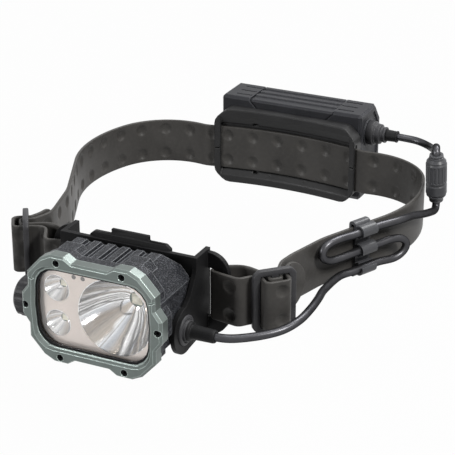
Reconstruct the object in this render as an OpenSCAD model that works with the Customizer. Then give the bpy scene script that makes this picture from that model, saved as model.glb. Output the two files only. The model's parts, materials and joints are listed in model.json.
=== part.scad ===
// Cap lamp: tilting LED lamp head, rubber headband, rear battery case and clipped lead.
// X to the wearer's left (right as seen from the front), Y to the rear, Z up, millimetres.
// The origin is the centre of the head ring, at half the height of the strap.

/* [Lamp head] */
// Width of the bezel across its side bosses
bezel_w = 82.4; // [80:0.2:88]
// Height of the bezel across its top and bottom bosses
bezel_h = 61.2; // [59:0.2:66]
// Depth of the bezel, front to back
bezel_t = 7; // [6:0.5:9]
// Distance of the bezel's front face in front of the ring centre
lamp_front = 150; // [150:1:156]
// Depth of the housing behind the bezel, down to its flat rear face
housing_d = 33; // [32.8:0.1:33.2]
// Height of the housing above the lamp's centre line
housing_top = 27.6; // [27:0.2:28.4]
// Depth of the housing below the lamp's centre line
housing_bottom = 25.5; // [25:0.2:26]
// Step from the bezel's side bosses in to the housing's sides
side_step = 4; // [3.8:0.1:4.2]
// Width of each cooling groove
groove_w = 4.4; // [3:0.2:5]
// Depth of each cooling groove
groove_d = 2.4; // [1.6:0.1:2.6]
// Distance between cooling grooves
groove_pitch = 8.4; // [7.5:0.1:8.6]

/* [Window and reflectors] */
// Width of the window in the bezel
window_w = 67.2; // [66:0.2:68]
// Height of the window in the bezel
window_h = 44.8; // [44.2:0.2:45.4]
// Thickness of the lens
lens_t = 1.8; // [1.5:0.1:2.2]
// Radius of the spot reflector's rim
spot_r = 21.4; // [20.8:0.1:21.7]
// Sideways place of the spot reflector
spot_x = 11; // [10.4:0.1:11.2]
// Depth of the spot reflector
spot_d = 24; // [21:0.5:25]
// Radius of each flood reflector's rim
flood_r = 7.5; // [6.6:0.1:7.8]
// Sideways place of the flood reflectors
flood_x = -22.6; // [-23.6:0.1:-22]
// Height of each flood reflector above or below the centre line
flood_z = 10; // [8.8:0.1:11]
// Depth of each flood reflector
flood_d = 7; // [5:0.5:9]
// Wall of the reflectors
reflector_wall = 0.8; // [0.6:0.1:1]

/* [Tilt pivot and knob] */
// Distance of the tilt axis behind the bezel's front face
pivot_back = 27.5; // [27.3:0.1:27.7]
// Drop of the tilt axis below the lamp's centre line
pivot_drop = 10.4; // [9.8:0.1:11]
// Radius of the lamp's pivot bosses
pivot_r = 6; // [5:0.1:6.4]
// Running clearance of pivots and shafts
run_gap = 0.1; // [0.05:0.01:0.12]
// Radius of the mode knob
knob_r = 11.5; // [10.5:0.1:12]
// Thickness of the mode knob
knob_t = 14.2; // [12:0.2:15]
// Number of finger scallops around the mode knob
knob_scallops = 10; // [8:1:14]
// Radius of the knob's shaft
shaft_r = 3; // [2.5:0.1:3.4]

/* [Bracket] */
// Gap between the housing's side and each ear
ear_gap = 0.8; // [0.8:0.1:1.2]
// Thickness of the ears and the back plate
bracket_t = 2.5; // [2:0.1:2.6]
// Radius of the lobe around the pivot
lobe_r = 12.8; // [12:0.1:13]
// Height of the bracket's top edge
bracket_top = 24.8; // [23:0.2:26]
// Step from the back plate's front face to the flange's front face
flange_step = 12.8; // [12:0.2:13.4]
// Thickness of the strap flanges
flange_t = 3; // [2.6:0.1:3.2]
// Width of the strap flanges
flange_w = 12; // [11:0.2:12.4]
// Half the height of the strap flanges
flange_half_h = 23.5; // [22:0.5:25]
// Width of the slot in each flange
flange_slot = 3.8; // [3.8:0.1:4]

/* [Strap and buckles] */
// Half the width of the loop of strap round the head
head_half_w = 113; // [112:0.5:114]
// Width of the rubber strap
strap_w = 28; // [26:0.5:28.5]
// Thickness of the rubber strap
strap_t = 1.8; // [1.5:0.1:1.9]
// Clearance between the strap and what it threads
strap_gap = 0.3; // [0.25:0.01:0.35]
// Length of each buckle, along the strap
buckle_l = 24; // [24:0.2:26]
// Height of each buckle
buckle_h = 36; // [35:0.5:38]
// Thickness of each buckle
buckle_t = 3.2; // [2.8:0.1:3.2]
// Width of the bar in the middle of each buckle
buckle_bar = 4; // [3.6:0.1:4]
// Width of each buckle's end rails
buckle_rail = 4; // [3.4:0.1:4]
// Bend at which the right buckle turns its face, from straight ahead
right_turn = 45; // [43:1:47]
// Bend at which the left buckle turns its face, from straight ahead
left_turn = 58; // [57:1:60]

/* [Battery case] */
// Room for wall, contacts and boards beyond the cells at each end of the case
end_room = 12.5; // [12.5:0.1:15]
// Depth of the battery case
case_d = 34; // [33:0.5:36]
// Height of the battery case
case_h = 57; // [55:0.5:59]
// Height of the case's centre above the strap's centre
case_rise = 4; // [3.5:0.1:4.5]
// Distance of the case's front face behind the ring centre
case_front = 103; // [103:0.2:104]
// Wall of the battery case
case_wall = 2.4; // [2:0.1:2.6]
// Length of each end cap along the top
cap_l = 19; // [17:0.5:20]
// Diameter of each cell
cell_d = 21.4; // [21:0.1:21.6]
// Length of each cell
cell_l = 70; // [69:0.1:70.4]

/* [Cradle] */
// Radius of the cradle's curve over the back of the head
cradle_r = 215; // [213:1:217]
// Width of the cradle frame
cradle_w = 95.6; // [94:0.2:98]
// Top edge of the cradle frame
cradle_top = 26.5; // [25.5:0.2:27.5]
// Bottom edge of the cradle frame
cradle_bottom = -22.8; // [-23.4:0.1:-22]
// Thickness of the bars in front of the strap
cradle_bar_t = 1.9; // [1.7:0.1:2]
// Width of the bars in front of the strap
cradle_bar_w = 3.6; // [3:0.1:4]
// Width of the raised rim round the cradle
cradle_rim = 4.4; // [4:0.2:5]
// Depth to which the cradle's face slopes in from the rim to the strap
cradle_dish = 3; // [2:0.1:3.2]

/* [Lead] */
// Diameter of the lead
lead_d = 4.5; // [4:0.1:4.5]
// Radius of the coupling sleeve on the in-line connector
sleeve_r = 6.1; // [5.8:0.1:6.4]
// Length of the coupling sleeve
sleeve_l = 22; // [20:0.5:23]
// Length of the cable clip along the strap
clip_l = 11; // [9:0.5:13]

/* [Hidden] */

smooth = 64;
skin_gap = 0.3;

// Rounded polylines ---------------------------------------------------------------------------
function unit(v) = v / norm(v);
function turn_of(a, b) = atan2(a.x * b.y - a.y * b.x, a.x * b.x + a.y * b.y);
// Points of one corner at p1, rounded to radius r
function corner(p0, p1, p2, r, step) =
    let (a = unit(p1 - p0), b = unit(p2 - p1), t = turn_of(a, b))
    (r == 0 || abs(t) < 1) ? [p1] :
    let (
        s = t > 0 ? 1 : -1,
        start = p1 - a * r * tan(abs(t) / 2),
        centre = start + s * r * [-a.y, a.x],
        n = max(2, ceil(abs(t) / step))
    )
    [for (i = [0:n]) let (g = t * i / n, v = start - centre)
        centre + [v.x * cos(g) - v.y * sin(g), v.x * sin(g) + v.y * cos(g)]];
// Open path through way-points [x, y, corner radius], where a corner that has no room is tighter
function open_path(w, step = 12) =
    let (
        last = len(w) - 1,
        q = [for (v = w) [v.x, v.y]],
        reach = [for (i = [0:last]) i == 0 || i == last ? 0 :
            w[i].z * tan(abs(turn_of(q[i] - q[i - 1], q[i + 1] - q[i])) / 2)],
        share = [for (i = [0:last - 1])
            min(1, 0.98 * norm(q[i + 1] - q[i]) / max(0.001, reach[i] + reach[i + 1]))]
    )
    [for (i = [0:last])
        for (p = i == 0 || i == last ? [q[i]] :
            corner(q[i - 1], q[i], q[i + 1], w[i].z * min(share[i - 1], share[i]), step)) p];
// Closed outline with every corner rounded to radius r
function rounded(p, r, step = 22.5) = [
    for (i = [0:len(p) - 1])
        for (q = corner(p[(i + len(p) - 1) % len(p)], p[i], p[(i + 1) % len(p)], r, step)) q];
// Outline of a ribbon of thickness t along an open path
function ribbon(p, t) =
    let (
        last = len(p) - 1,
        side = [for (i = [0:last])
            let (d = unit(p[min(i + 1, last)] - p[max(i - 1, 0)])) [-d.y, d.x] * t / 2]
    )
    concat([for (i = [0:last]) p[i] + side[i]], [for (i = [last:-1:0]) p[i] - side[i]]);
function mirrored(p) = concat(p, [for (i = [len(p) - 1:-1:0]) [-p[i].x, p[i].y]]);
function box_outline(w, h, cut_x, cut_z) = [
    [w / 2 - cut_x, h / 2], [w / 2, h / 2 - cut_z], [w / 2, cut_z - h / 2], [w / 2 - cut_x, -h / 2],
    [cut_x - w / 2, -h / 2], [-w / 2, cut_z - h / 2], [-w / 2, h / 2 - cut_z], [cut_x - w / 2, h / 2]];

// Directions ----------------------------------------------------------------------------------
// A profile in X and Z, from y to y + t
module slab_y(y, t) {
    translate([0, y + t, 0]) rotate([90, 0, 0]) linear_extrude(t) children();
}
// A profile in Y and Z, from x to x + t
module slab_x(x, t) {
    translate([x, 0, 0]) rotate([90, 0, 90]) linear_extrude(t) children();
}
// A cylinder along X from x, on an axis at y and z
module rod_x(x, l, r, y, z) {
    translate([x, y, z]) rotate([0, 90, 0]) cylinder(h = l, r = r, $fn = smooth);
}
// A cylinder along Y from y, on an axis at x and z
module rod_y(y, l, r, x, z) {
    translate([x, y + l, z]) rotate([90, 0, 0]) cylinder(h = l, r = r, $fn = smooth);
}
// A profile [radius, x] turned about an axis along X
module turned_x(y, z, profile) {
    translate([0, y, z]) rotate([0, 90, 0]) rotate_extrude($fn = smooth) polygon(profile);
}
// A profile [radius, depth behind y] turned about an axis along Y
module turned_y(x, y, z, profile) {
    translate([x, y, z]) rotate([-90, 0, 0]) rotate_extrude($fn = smooth) polygon(profile);
}

// Lamp head places ----------------------------------------------------------------------------
front_y = -lamp_front;
bezel_back = front_y + bezel_t;
housing_back = bezel_back + housing_d;
pivot_y = front_y + pivot_back;
housing_half_w = bezel_w / 2 - side_step;
ear_in = housing_half_w + ear_gap;
ear_out = ear_in + bracket_t;
pivot_z = -pivot_drop;
bezel_rise = 0.3;
boss_flat = 6.4;
boss_x = 18.9;
boss_z = bezel_h / 2 - 3.6;
side_boss_x = bezel_w / 2 - 2.7;
bezel_screws_at = [for (s = [-1, 1]) for (p = [[boss_x, boss_z], [boss_x, -boss_z], [side_boss_x, 0]])
    [s * p.x, p.y]];
screw_r = 1.1;
screw_head_r = 1.8;
screw_head_t = 1.8;
screw_sink = 1;
screw_l = 11;
top_recess = 2.8;
side_recess = 4.2;
lip_t = 2.4;
lip_chamfer = 1.6;
front_chamfer = 1.4;
pocket_edge = 2.2;
screw_wall = 0.5;
seal_t = 1.4;
seal_edge = 1;
lens_edge = pocket_edge - 0.2;
lens_y = front_y + lip_t + seal_t;
plate_t = 1.15;
plate_y = lens_y + lens_t + 0.2;
window_rise = 0.3;
window_cut_top = 6.5;
window_cut_bottom = 6.5;
window_bulge = 1;
window_round = 10;
spot_led_y = plate_y + spot_d;
flood_led_y = plate_y + flood_d;
led_t = 0.8;
board_t = 1.6;

// Edge of the window, let out by e
function window_outline(e) =
    let (
        w = window_w / 2 + e, h = window_h / 2 + e, side = w - window_bulge,
        right = [
            [side - window_cut_top, h], [side, h - window_cut_top], [w, 0],
            [side, window_cut_bottom - h], [side - window_cut_bottom, -h]
        ]
    )
    [for (q = rounded(mirrored(right), window_round)) [q.x, q.y + window_rise]];

// Area of the pocket's pieces, let out by e and notched round the screws
module seat_area(e) {
    difference() {
        polygon(window_outline(e));
        for (p = bezel_screws_at) translate(p)
            circle(r = screw_head_r + 0.15 + screw_wall + pocket_edge - e, $fn = smooth);
    }
}

// Edge of the bezel, drawn in by e
function bezel_outline(e) =
    let (
        w = bezel_w / 2 - e, h = bezel_h / 2 - e,
        q = [
            [boss_x - 8.2 - e, h - top_recess], [boss_x - 3.8, h], [boss_x + 4, h],
            [boss_x + 10, h - 2.9], [w - side_recess, h - 11.8],
            [w - side_recess, 11], [w - 0.3, 5.8]
        ],
        right = concat(q, [for (i = [len(q) - 1:-1:0]) [q[i].x, -q[i].y]])
    )
    [for (p = mirrored(right)) [p.x, p.y + bezel_rise]];

module bezel() {
    color([0.49, 0.55, 0.52]) difference() {
        union() {
            slab_y(front_y + front_chamfer, bezel_t - front_chamfer) polygon(bezel_outline(0));
            translate([0, front_y + front_chamfer, 0]) rotate([90, 0, 0])
                linear_extrude(front_chamfer, scale = 1 - 2 * front_chamfer / bezel_w)
                    polygon(bezel_outline(0));
        }
        slab_y(front_y + lip_t, bezel_t) seat_area(pocket_edge);
        slab_y(front_y - 1, bezel_t) polygon(window_outline(0));
        translate([0, front_y - 0.1, 0]) rotate([-90, 0, 0])
            linear_extrude(lip_chamfer + 0.1, scale = window_w / (window_w + 2 * lip_chamfer))
                polygon([for (q = window_outline(lip_chamfer)) [q.x, -q.y]]);
        for (p = bezel_screws_at) {
            rod_y(front_y - 1, bezel_t + 2, screw_r + 0.15, p.x, p.y);
            rod_y(front_y - 1, 1 + screw_sink + screw_head_t, screw_head_r + 0.15, p.x, p.y);
        }
        for (s = [-1, 1]) translate([s * (bezel_w / 2 - 4.6), front_y + 0.3, 16.2])
            rotate([0, s * -12, 0]) cube([7, 2, 0.7], center = true);
    }
}

module bezel_screws() {
    socket_r = 1.1;
    color([0.08, 0.08, 0.09]) for (p = bezel_screws_at) difference() {
        union() {
            rod_y(front_y + screw_sink, screw_head_t, screw_head_r, p.x, p.y);
            rod_y(front_y + screw_sink, screw_l, screw_r, p.x, p.y);
        }
        translate([p.x, front_y + screw_sink + 1.2, p.y]) rotate([90, 0, 0])
            cylinder(h = 3, r = socket_r, $fn = 6);
    }
}

module lens_seal() {
    color([0.04, 0.04, 0.04]) slab_y(front_y + lip_t, seal_t) difference() {
        seat_area(lens_edge);
        polygon(window_outline(-seal_edge));
    }
}

module lens() {
    color([0.9, 0.93, 0.95, 0.35]) slab_y(lens_y, lens_t) seat_area(lens_edge);
}

module reflector_plate() {
    color([0.77, 0.72, 0.68]) difference() {
        slab_y(plate_y, plate_t) seat_area(pocket_edge - 0.5);
        rod_y(plate_y - 1, plate_t + 2, spot_r, spot_x, 0);
        for (s = [-1, 1]) {
            rod_y(plate_y - 1, plate_t + 2, flood_r, flood_x, s * flood_z);
        }
        for (p = studs_at) rod_y(plate_y - 1, plate_t + 2, stud_r, p.x, p.y);
    }
}

// Shell of a reflector whose wall runs along a parabola from the LED to the rim
module cup(x, y, z, r, d, throat, wall) {
    n = 12;
    bowl = [for (i = [0:n]) let (q = throat + (r - throat) * i / n)
        [q, d * (1 - (q * q - throat * throat) / (r * r - throat * throat))]];
    outer = [for (i = [n:-1:0]) [bowl[i].x + wall, bowl[i].y]];
    turned_y(x, y, z, concat(bowl, outer));
}

cup_lip = 0.1;
module spot_reflector() {
    color([0.93, 0.93, 0.94])
        cup(spot_x, plate_y + cup_lip, 0, spot_r - reflector_wall - 0.05, spot_d - cup_lip, 4.4,
            reflector_wall);
}

module flood_reflectors() {
    color([0.93, 0.93, 0.94]) for (s = [-1, 1])
        cup(flood_x, plate_y + cup_lip, s * flood_z, flood_r - reflector_wall - 0.05,
            flood_d - cup_lip, 2.4, reflector_wall);
}

stud_r = 1.3;
stud_z = window_h / 2 - 4;
studs_at = [[-12.2, stud_z], [-6.9, stud_z]];
module indicator_studs() {
    color([0.12, 0.1, 0.09]) for (p = studs_at) {
        rod_y(plate_y, plate_t + 2, stud_r - 0.05, p.x, p.y);
    }
}

module spot_led() {
    dome_r = 2.5;
    color([0.9, 0.85, 0.45]) {
        slab_y(spot_led_y, led_t) translate([spot_x, 0]) square(6, center = true);
        intersection() {
            translate([spot_x, spot_led_y, 0]) sphere(r = dome_r, $fn = 32);
            slab_y(spot_led_y - dome_r, dome_r) translate([spot_x, 0]) square(6, center = true);
        }
    }
}

module flood_leds() {
    color([0.9, 0.85, 0.45]) for (s = [-1, 1])
        slab_y(flood_led_y, led_t) translate([flood_x, s * flood_z]) square(3.4, center = true);
}

module led_board() {
    color([0.2, 0.45, 0.3]) slab_y(spot_led_y + led_t, board_t)
        translate([spot_x, 0]) circle(r = 10, $fn = smooth);
}

flood_board_w = 12;
module flood_board() {
    color([0.2, 0.45, 0.3]) slab_y(flood_led_y + led_t, board_t)
        translate([flood_x, 0]) square([flood_board_w, 26], center = true);
}

driver_y = flood_led_y + led_t + board_t + 2;
driver_at = [flood_x - 0.4, 4];
module driver_board() {
    parts = [[-6, 8, 6, 3], [4, -7, 5, 2], [-4, -8, 4, 3], [6, 5, 4, 2]];
    color([0.12, 0.35, 0.22]) {
        slab_y(driver_y, board_t) translate([driver_at.x, driver_at.y])
            square([15, 26], center = true);
        for (p = parts) slab_y(driver_y + board_t, p[3])
            translate([driver_at.x + p.x / 2, driver_at.y + p.y]) square([p.z, p.z], center = true);
    }
}

// Side view of the housing: flat top, sloped tail, and a rear that is round about the pivot
tail_x = 8;
tail_drop = 8;
module housing_side() {
    sweep_r = housing_back - pivot_y;
    arc_n = 9;
    polygon(concat(
        [
            [bezel_back, housing_top],
            [housing_back - tail_x, housing_top],
            [housing_back, housing_top - tail_drop]
        ],
        [for (i = [0:arc_n]) let (g = -90 * i / arc_n)
            [pivot_y + sweep_r * cos(g), pivot_z + sweep_r * sin(g)]],
        [[bezel_back, -housing_bottom]]
    ));
}

flange_rim = 6;
pad_d = 14;
module housing_outside() {
    body = [
        [housing_half_w - 12.4, housing_top], [housing_half_w, 13],
        [housing_half_w, -14], [housing_half_w - 12.4, -housing_bottom]];
    intersection() {
        slab_x(-housing_half_w, 2 * housing_half_w) housing_side();
        slab_y(bezel_back, housing_d) polygon(mirrored(body));
    }
    slab_y(bezel_back, flange_rim) polygon(bezel_outline(0.8));
    for (s = [-1, 1]) slab_y(bezel_back + flange_rim, pad_d - flange_rim) scale([s, 1])
        polygon([
            [boss_x - boss_flat, housing_top - groove_d], [boss_x - boss_flat, housing_top],
            [boss_x - boss_flat + 2.4, housing_top + 2.4], [boss_x + boss_flat - 1, housing_top + 2.4],
            [boss_x + boss_flat + 3, housing_top - groove_d]]);
}

sink_y = spot_led_y + led_t + board_t;
module housing() {
    boss_end = ear_out - cap_sink - 0.1;
    color([0.16, 0.16, 0.17]) difference() {
        union() {
            difference() {
                housing_outside();
                slab_y(bezel_back - 1, sink_y - bezel_back + 1) polygon(window_outline(0));
                for (i = [-2:2]) {
                    start = bezel_back + (abs(i) == 2 ? pad_d : flange_rim);
                    translate([i * groove_pitch - groove_w / 2, start, housing_top - groove_d])
                        cube([groove_w, housing_d, groove_d + 4]);
                }
            }
            rod_x(housing_half_w - 1, boss_end - housing_half_w + 1, pivot_r, pivot_y, pivot_z);
            rod_x(-boss_end, boss_end - housing_half_w + 1, pivot_r, pivot_y, pivot_z);
        }
        rod_x(housing_half_w - 4, 12, lead_d / 2 + 0.4, pivot_y, pivot_z);
        rod_x(-housing_half_w - 8, 17, shaft_r + run_gap, pivot_y, pivot_z);
        for (p = bezel_screws_at) {
            rod_y(bezel_back - 1, screw_l - bezel_t + screw_sink + 1.5, screw_r + 0.05, p.x, p.y);
        }
    }
}

washer_t = ear_gap - 0.1;
module friction_washers() {
    color([0.75, 0.74, 0.7]) for (x = [housing_half_w, -housing_half_w - washer_t]) difference() {
        rod_x(x, washer_t, pivot_r + 3, pivot_y, pivot_z);
        rod_x(x - 1, washer_t + 2, pivot_r + 0.1, pivot_y, pivot_z);
    }
}

encoder_x = -29;
encoder_s = 8;
module mode_encoder() {
    bite = 3;
    color([0.1, 0.25, 0.5]) difference() {
        translate([encoder_x, pivot_y - encoder_s / 2, pivot_z - encoder_s / 2])
            cube([6, encoder_s, encoder_s]);
        rod_x(encoder_x - 1, bite + 1, shaft_r + run_gap, pivot_y, pivot_z);
    }
}

cap_t = 2.2;
cap_r = 8.2;
cap_sink = 0.8;
knob_in = ear_in + bracket_t + cap_t + 1;
knob_wall = 2;
module knob_shaft() {
    inner = -encoder_x - 2.6;
    outer = knob_in + knob_t - knob_wall;
    color([0.7, 0.7, 0.72]) rod_x(-outer, outer - inner, shaft_r, pivot_y, pivot_z);
}

module mode_knob() {
    scallop_r = 3.4;
    color([0.09, 0.09, 0.1]) difference() {
        turned_x(pivot_y, pivot_z, [
            [0, -knob_in - knob_t], [knob_r - 2, -knob_in - knob_t],
            [knob_r, -knob_in - knob_t + 2], [knob_r, -knob_in - 1],
            [knob_r - 1, -knob_in], [0, -knob_in]]);
        for (i = [0:knob_scallops - 1]) translate([0, pivot_y, pivot_z])
            rotate([360 * i / knob_scallops, 0, 0])
                rod_x(-knob_in - knob_t - 1, knob_t + 2, scallop_r, 0, knob_r + scallop_r - 1.1);
        rod_x(-knob_in - knob_t - 1, 1.8, knob_r - 4, pivot_y, pivot_z);
        rod_x(-knob_in - knob_t + knob_wall, knob_t, shaft_r + 0.03, pivot_y, pivot_z);
    }
}

// Bracket -------------------------------------------------------------------------------------
plate_front = housing_back + 0.5;
flange_y = plate_front + flange_step;
plate_bottom = -20;
module ear_profile() {
    swoop = [
        [plate_front, bracket_top, 0], [plate_front, 17, 12], [plate_front - 9, 3.5, 18],
        [pivot_y - 6, pivot_z + lobe_r - 2.2, 0], [pivot_y, pivot_z, 0],
        [pivot_y + 3, pivot_z - lobe_r + 0.4, 0], [flange_y, -flange_half_h + 3, 0],
        [flange_y + flange_t, -flange_half_h + 3, 0], [flange_y + flange_t, bracket_top, 0]];
    polygon(open_path(swoop));
    translate([pivot_y, pivot_z]) circle(r = lobe_r, $fn = smooth);
}

flange_corner = 11.5;
flange_drop = 0.6;
module flange_profile() {
    far = ear_out + flange_w;
    difference() {
        translate([0, -flange_drop]) hull() {
            translate([ear_in, -flange_half_h]) square([1, 2 * flange_half_h]);
            for (s = [-1, 1]) translate([far - flange_corner, s * (flange_half_h - flange_corner)])
                circle(r = flange_corner, $fn = 32);
        }
        translate([ear_in - 30, -flange_half_h - 5]) square([30, 2 * flange_half_h + 10]);
        translate([ear_out, -strap_w / 2 - strap_gap]) square([flange_slot, strap_w + 2 * strap_gap]);
    }
}

module bracket() {
    color([0.1, 0.1, 0.1]) difference() {
        union() {
            slab_y(plate_front, bracket_t) translate([-ear_out, plate_bottom])
                square([2 * ear_out, bracket_top - plate_bottom]);
            for (x = [ear_in, -ear_out]) slab_x(x, bracket_t) ear_profile();
            slab_y(flange_y, flange_t) flange_profile();
            mirror([1, 0, 0]) slab_y(flange_y, flange_t) flange_profile();
        }
        rod_x(-ear_out - 1, 2 * ear_out + 2, pivot_r + run_gap, pivot_y, pivot_z);
        for (x = [ear_out - cap_sink, -ear_out - 1]) {
            rod_x(x, cap_sink + 1, cap_r + 0.1, pivot_y, pivot_z);
        }
    }
}

module pivot_cap(bore) {
    x = ear_out - cap_sink;
    turned_x(pivot_y, pivot_z, [
        [bore, x], [cap_r, x], [cap_r, x + 1.3], [cap_r - 0.9, x + 1.9], [6.3, x + 1.9],
        [6.3, x + 1.5], [5.7, x + 1.5], [5.7, x + cap_sink + cap_t], [bore, x + cap_sink + cap_t]]);
}

module pivot_cap_right() {
    color([0.13, 0.13, 0.14]) pivot_cap(lead_d / 2 + 0.15);
}

module pivot_cap_left() {
    color([0.13, 0.13, 0.14]) mirror([1, 0, 0]) pivot_cap(shaft_r + 0.4);
}

carrier_t = 2.6;
carrier_half_w = 24;
carrier_top = bracket_top + 2.6;
hook_half_w = 11.3;
hook_h = 2.8;
module pad_carrier() {
    y = plate_front + bracket_t;
    color([0.12, 0.12, 0.13]) {
        slab_y(y, carrier_t) polygon([
            [-carrier_half_w, plate_bottom + 2], [carrier_half_w, plate_bottom + 2],
            [carrier_half_w, bracket_top + 0.4], [carrier_half_w - 2.6, carrier_top],
            [2.6 - carrier_half_w, carrier_top], [-carrier_half_w, bracket_top + 0.4]]);
        translate([-hook_half_w, y + 0.8, carrier_top - 1]) cube([2 * hook_half_w, 1.8, hook_h + 1]);
    }
}

pad_r = 110;
pad_half_w = 31;
pad_min_t = 4;
module forehead_pad() {
    y = plate_front + bracket_t + carrier_t;
    far = pad_r - sqrt(pad_r * pad_r - pad_half_w * pad_half_w);
    color([0.07, 0.07, 0.07]) difference() {
        slab_y(y, pad_min_t + far) polygon(rounded(box_outline(2 * pad_half_w, 40, 5, 5), 4));
        translate([0, y + pad_min_t + pad_r, -30]) cylinder(h = 60, r = pad_r, $fn = 128);
    }
}

// Strap ---------------------------------------------------------------------------------------
half_t = strap_t / 2;
slot_lane = buckle_bar / 2 + strap_gap + half_t;
rail_lane = buckle_l / 2 - buckle_rail - strap_gap - half_t;
behind = -buckle_t - strap_gap - half_t - 0.2;
over_bar = strap_gap + half_t + 0.15;
bulge = 5.5;
tight = 1.5;
flange_lane = ear_out + flange_slot - 0.2 - half_t;
right_buckle_at = [ear_out + 36, flange_y + 5.7];
left_buckle_at = [ear_out + 38.4, flange_y + 10.1];
cradle_y = case_front - 5.8;
cradle_axis = cradle_y - cradle_r;
lane_t = strap_t + 2 * strap_gap;
lane_r = cradle_r + cradle_bar_t + lane_t / 2;
lane_x = 48;
lane_slope = lane_x / sqrt(lane_r * lane_r - lane_x * lane_x);
lane_y = cradle_axis + sqrt(lane_r * lane_r - lane_x * lane_x);

// Point at u along and n out of a buckle's outer face, as a way-point of radius r
function in_buckle(c, turn, u, n, r) =
    [c.x + u * cos(turn) + n * sin(turn), c.y + u * sin(turn) - n * cos(turn), r];

// Way-points of one side, from the tail's end through the buckle and the flange to the temple
function side_way(c, turn, tail, front_layer, back_layer, temple) = concat(
    tail,
    [
        in_buckle(c, turn, rail_lane, behind, tight),
        in_buckle(c, turn, rail_lane, bulge, 3),
        in_buckle(c, turn, -rail_lane, bulge, 3),
        in_buckle(c, turn, -rail_lane, behind, tight)
    ],
    front_layer,
    [[flange_lane, flange_y - strap_gap - half_t - 0.2, 1.8]],
    [[flange_lane, flange_y + flange_t + strap_gap + half_t + 0.2, 1.8]],
    back_layer,
    [
        in_buckle(c, turn, -slot_lane, behind - 1.2, 4),
        in_buckle(c, turn, -slot_lane, over_bar, tight),
        in_buckle(c, turn, slot_lane, over_bar, tight),
        in_buckle(c, turn, slot_lane, behind - 1.2, 5)
    ],
    temple
);
// Way-point at x and y from the flange's outer front corner
function from_flange(x, y, r) = [ear_out + x, flange_y + y, r];
right_way = side_way(
    right_buckle_at, right_turn,
    [from_flange(39, 36.7, 0), from_flange(35.3, 22.7, 16)],
    [from_flange(23.8, 0.7, 3), from_flange(19.5, -4.5, 4), from_flange(10.5, -2.9, 6)],
    [from_flange(15.5, 11.7, 12)],
    [from_flange(31, 24.7, 14)]
);
left_way = side_way(
    left_buckle_at, left_turn,
    [from_flange(37.7, 40.7, 0), from_flange(35.1, 26.7, 16)],
    [from_flange(23, 9.9, 5), from_flange(15, -5.3, 4), from_flange(8.5, -2.7, 6)],
    [from_flange(21.5, 16.2, 12)],
    [from_flange(31, 26.7, 14)]
);
crown_way = [
    from_flange(32.5, 34.7, 30), from_flange(39.5, 60.7, 60), [head_half_w, 36, 80],
    [head_half_w - 23, 98, 40], [lane_x + 6, lane_y - 1.4, 16]];
strap_way = concat(
    right_way,
    crown_way,
    [[0, lane_y + lane_x * lane_slope, lane_r]],
    [for (i = [len(crown_way) - 1:-1:0]) [-crown_way[i].x, crown_way[i].y, crown_way[i].z]],
    [for (i = [len(left_way) - 1:-1:0]) [-left_way[i].x, left_way[i].y, left_way[i].z]]
);

// What is cut away to round the strap's end that lies at way-point a, coming from b
module tail_cut(a, b) {
    away = atan2(a.y - b.y, a.x - b.x);
    r = strap_w / 2;
    translate([a.x, a.y, 0]) rotate([0, 0, away]) translate([-r, 0, 0]) rotate([90, 0, 0])
        translate([0, 0, -3]) linear_extrude(6) difference() {
            translate([0, -r - 1]) square([r + 2, 2 * r + 2]);
            circle(r = r, $fn = smooth);
        }
}

module strap() {
    path = open_path(strap_way);
    last = len(strap_way) - 1;
    color([0.2, 0.19, 0.18]) difference() {
        translate([0, 0, -strap_w / 2]) linear_extrude(strap_w) polygon(ribbon(path, strap_t));
        tail_cut(strap_way[0], strap_way[1]);
        tail_cut(strap_way[last], strap_way[last - 1]);
    }
}

module buckle() {
    slot_h = strap_w + 4 * strap_gap;
    rotate([90, 0, 0]) linear_extrude(buckle_t) difference() {
        polygon(rounded(box_outline(buckle_l, buckle_h, 3, 3), 3));
        for (s = [-1, 1]) translate([s * (buckle_l / 2 - buckle_rail + buckle_bar / 2) / 2, 0])
            square([buckle_l / 2 - buckle_rail - buckle_bar / 2, slot_h], center = true);
    }
}

module buckle_at(c, turn) {
    translate([c.x, c.y, 0]) rotate([0, 0, turn]) translate([0, buckle_t, 0]) buckle();
}

module right_buckle() {
    color([0.12, 0.12, 0.12]) buckle_at(right_buckle_at, right_turn);
}

module left_buckle() {
    color([0.12, 0.12, 0.12]) mirror([1, 0, 0]) buckle_at(left_buckle_at, left_turn);
}

// Cable clip ----------------------------------------------------------------------------------
temple_dir = unit([crown_way[2].x - crown_way[1].x, crown_way[2].y - crown_way[1].y]);
clip_turn = atan2(temple_dir.y, temple_dir.x);
clip_at = [crown_way[1].x, crown_way[1].y] + 28 * temple_dir;
clip_t = 1.6;
grip_t = 1.3;
clip_rise = 1.2;
grip_off = half_t + strap_gap + clip_t + lead_d / 2 + 0.3;
grip_zs = [12.4, 1.4, -9.8];
// A profile in outward distance and Z, run along the strap for the clip's length
module along_clip(l) {
    translate([clip_at.x, clip_at.y, 0]) rotate([0, 0, clip_turn]) rotate([90, 0, -90])
        translate([0, 0, -l / 2]) linear_extrude(l) children();
}

module cable_clip() {
    h = half_t + strap_gap + clip_t / 2;
    low = -strap_w / 2 - strap_gap - clip_t / 2;
    high = -low + clip_rise;
    bore = lead_d / 2 + 0.2;
    mouth = 3.2;
    color([0.11, 0.11, 0.12]) along_clip(clip_l) difference() {
        union() {
            polygon(ribbon(open_path([[-h, low + 4.5, 0], [-h, low, 1.4], [h, low, 1.4],
                [h, high, 1.4], [-h, high, 1.4], [-h, high - 5.5, 0]], 15), clip_t));
            for (z = grip_zs) translate([grip_off, z]) circle(r = bore + grip_t, $fn = smooth);
        }
        for (i = [0:2]) translate([grip_off, grip_zs[i]]) {
            circle(r = bore, $fn = smooth);
            rotate(i == 2 ? 55 : -55) translate([0, -mouth / 2]) square([8, mouth]);
        }
    }
}

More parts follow.
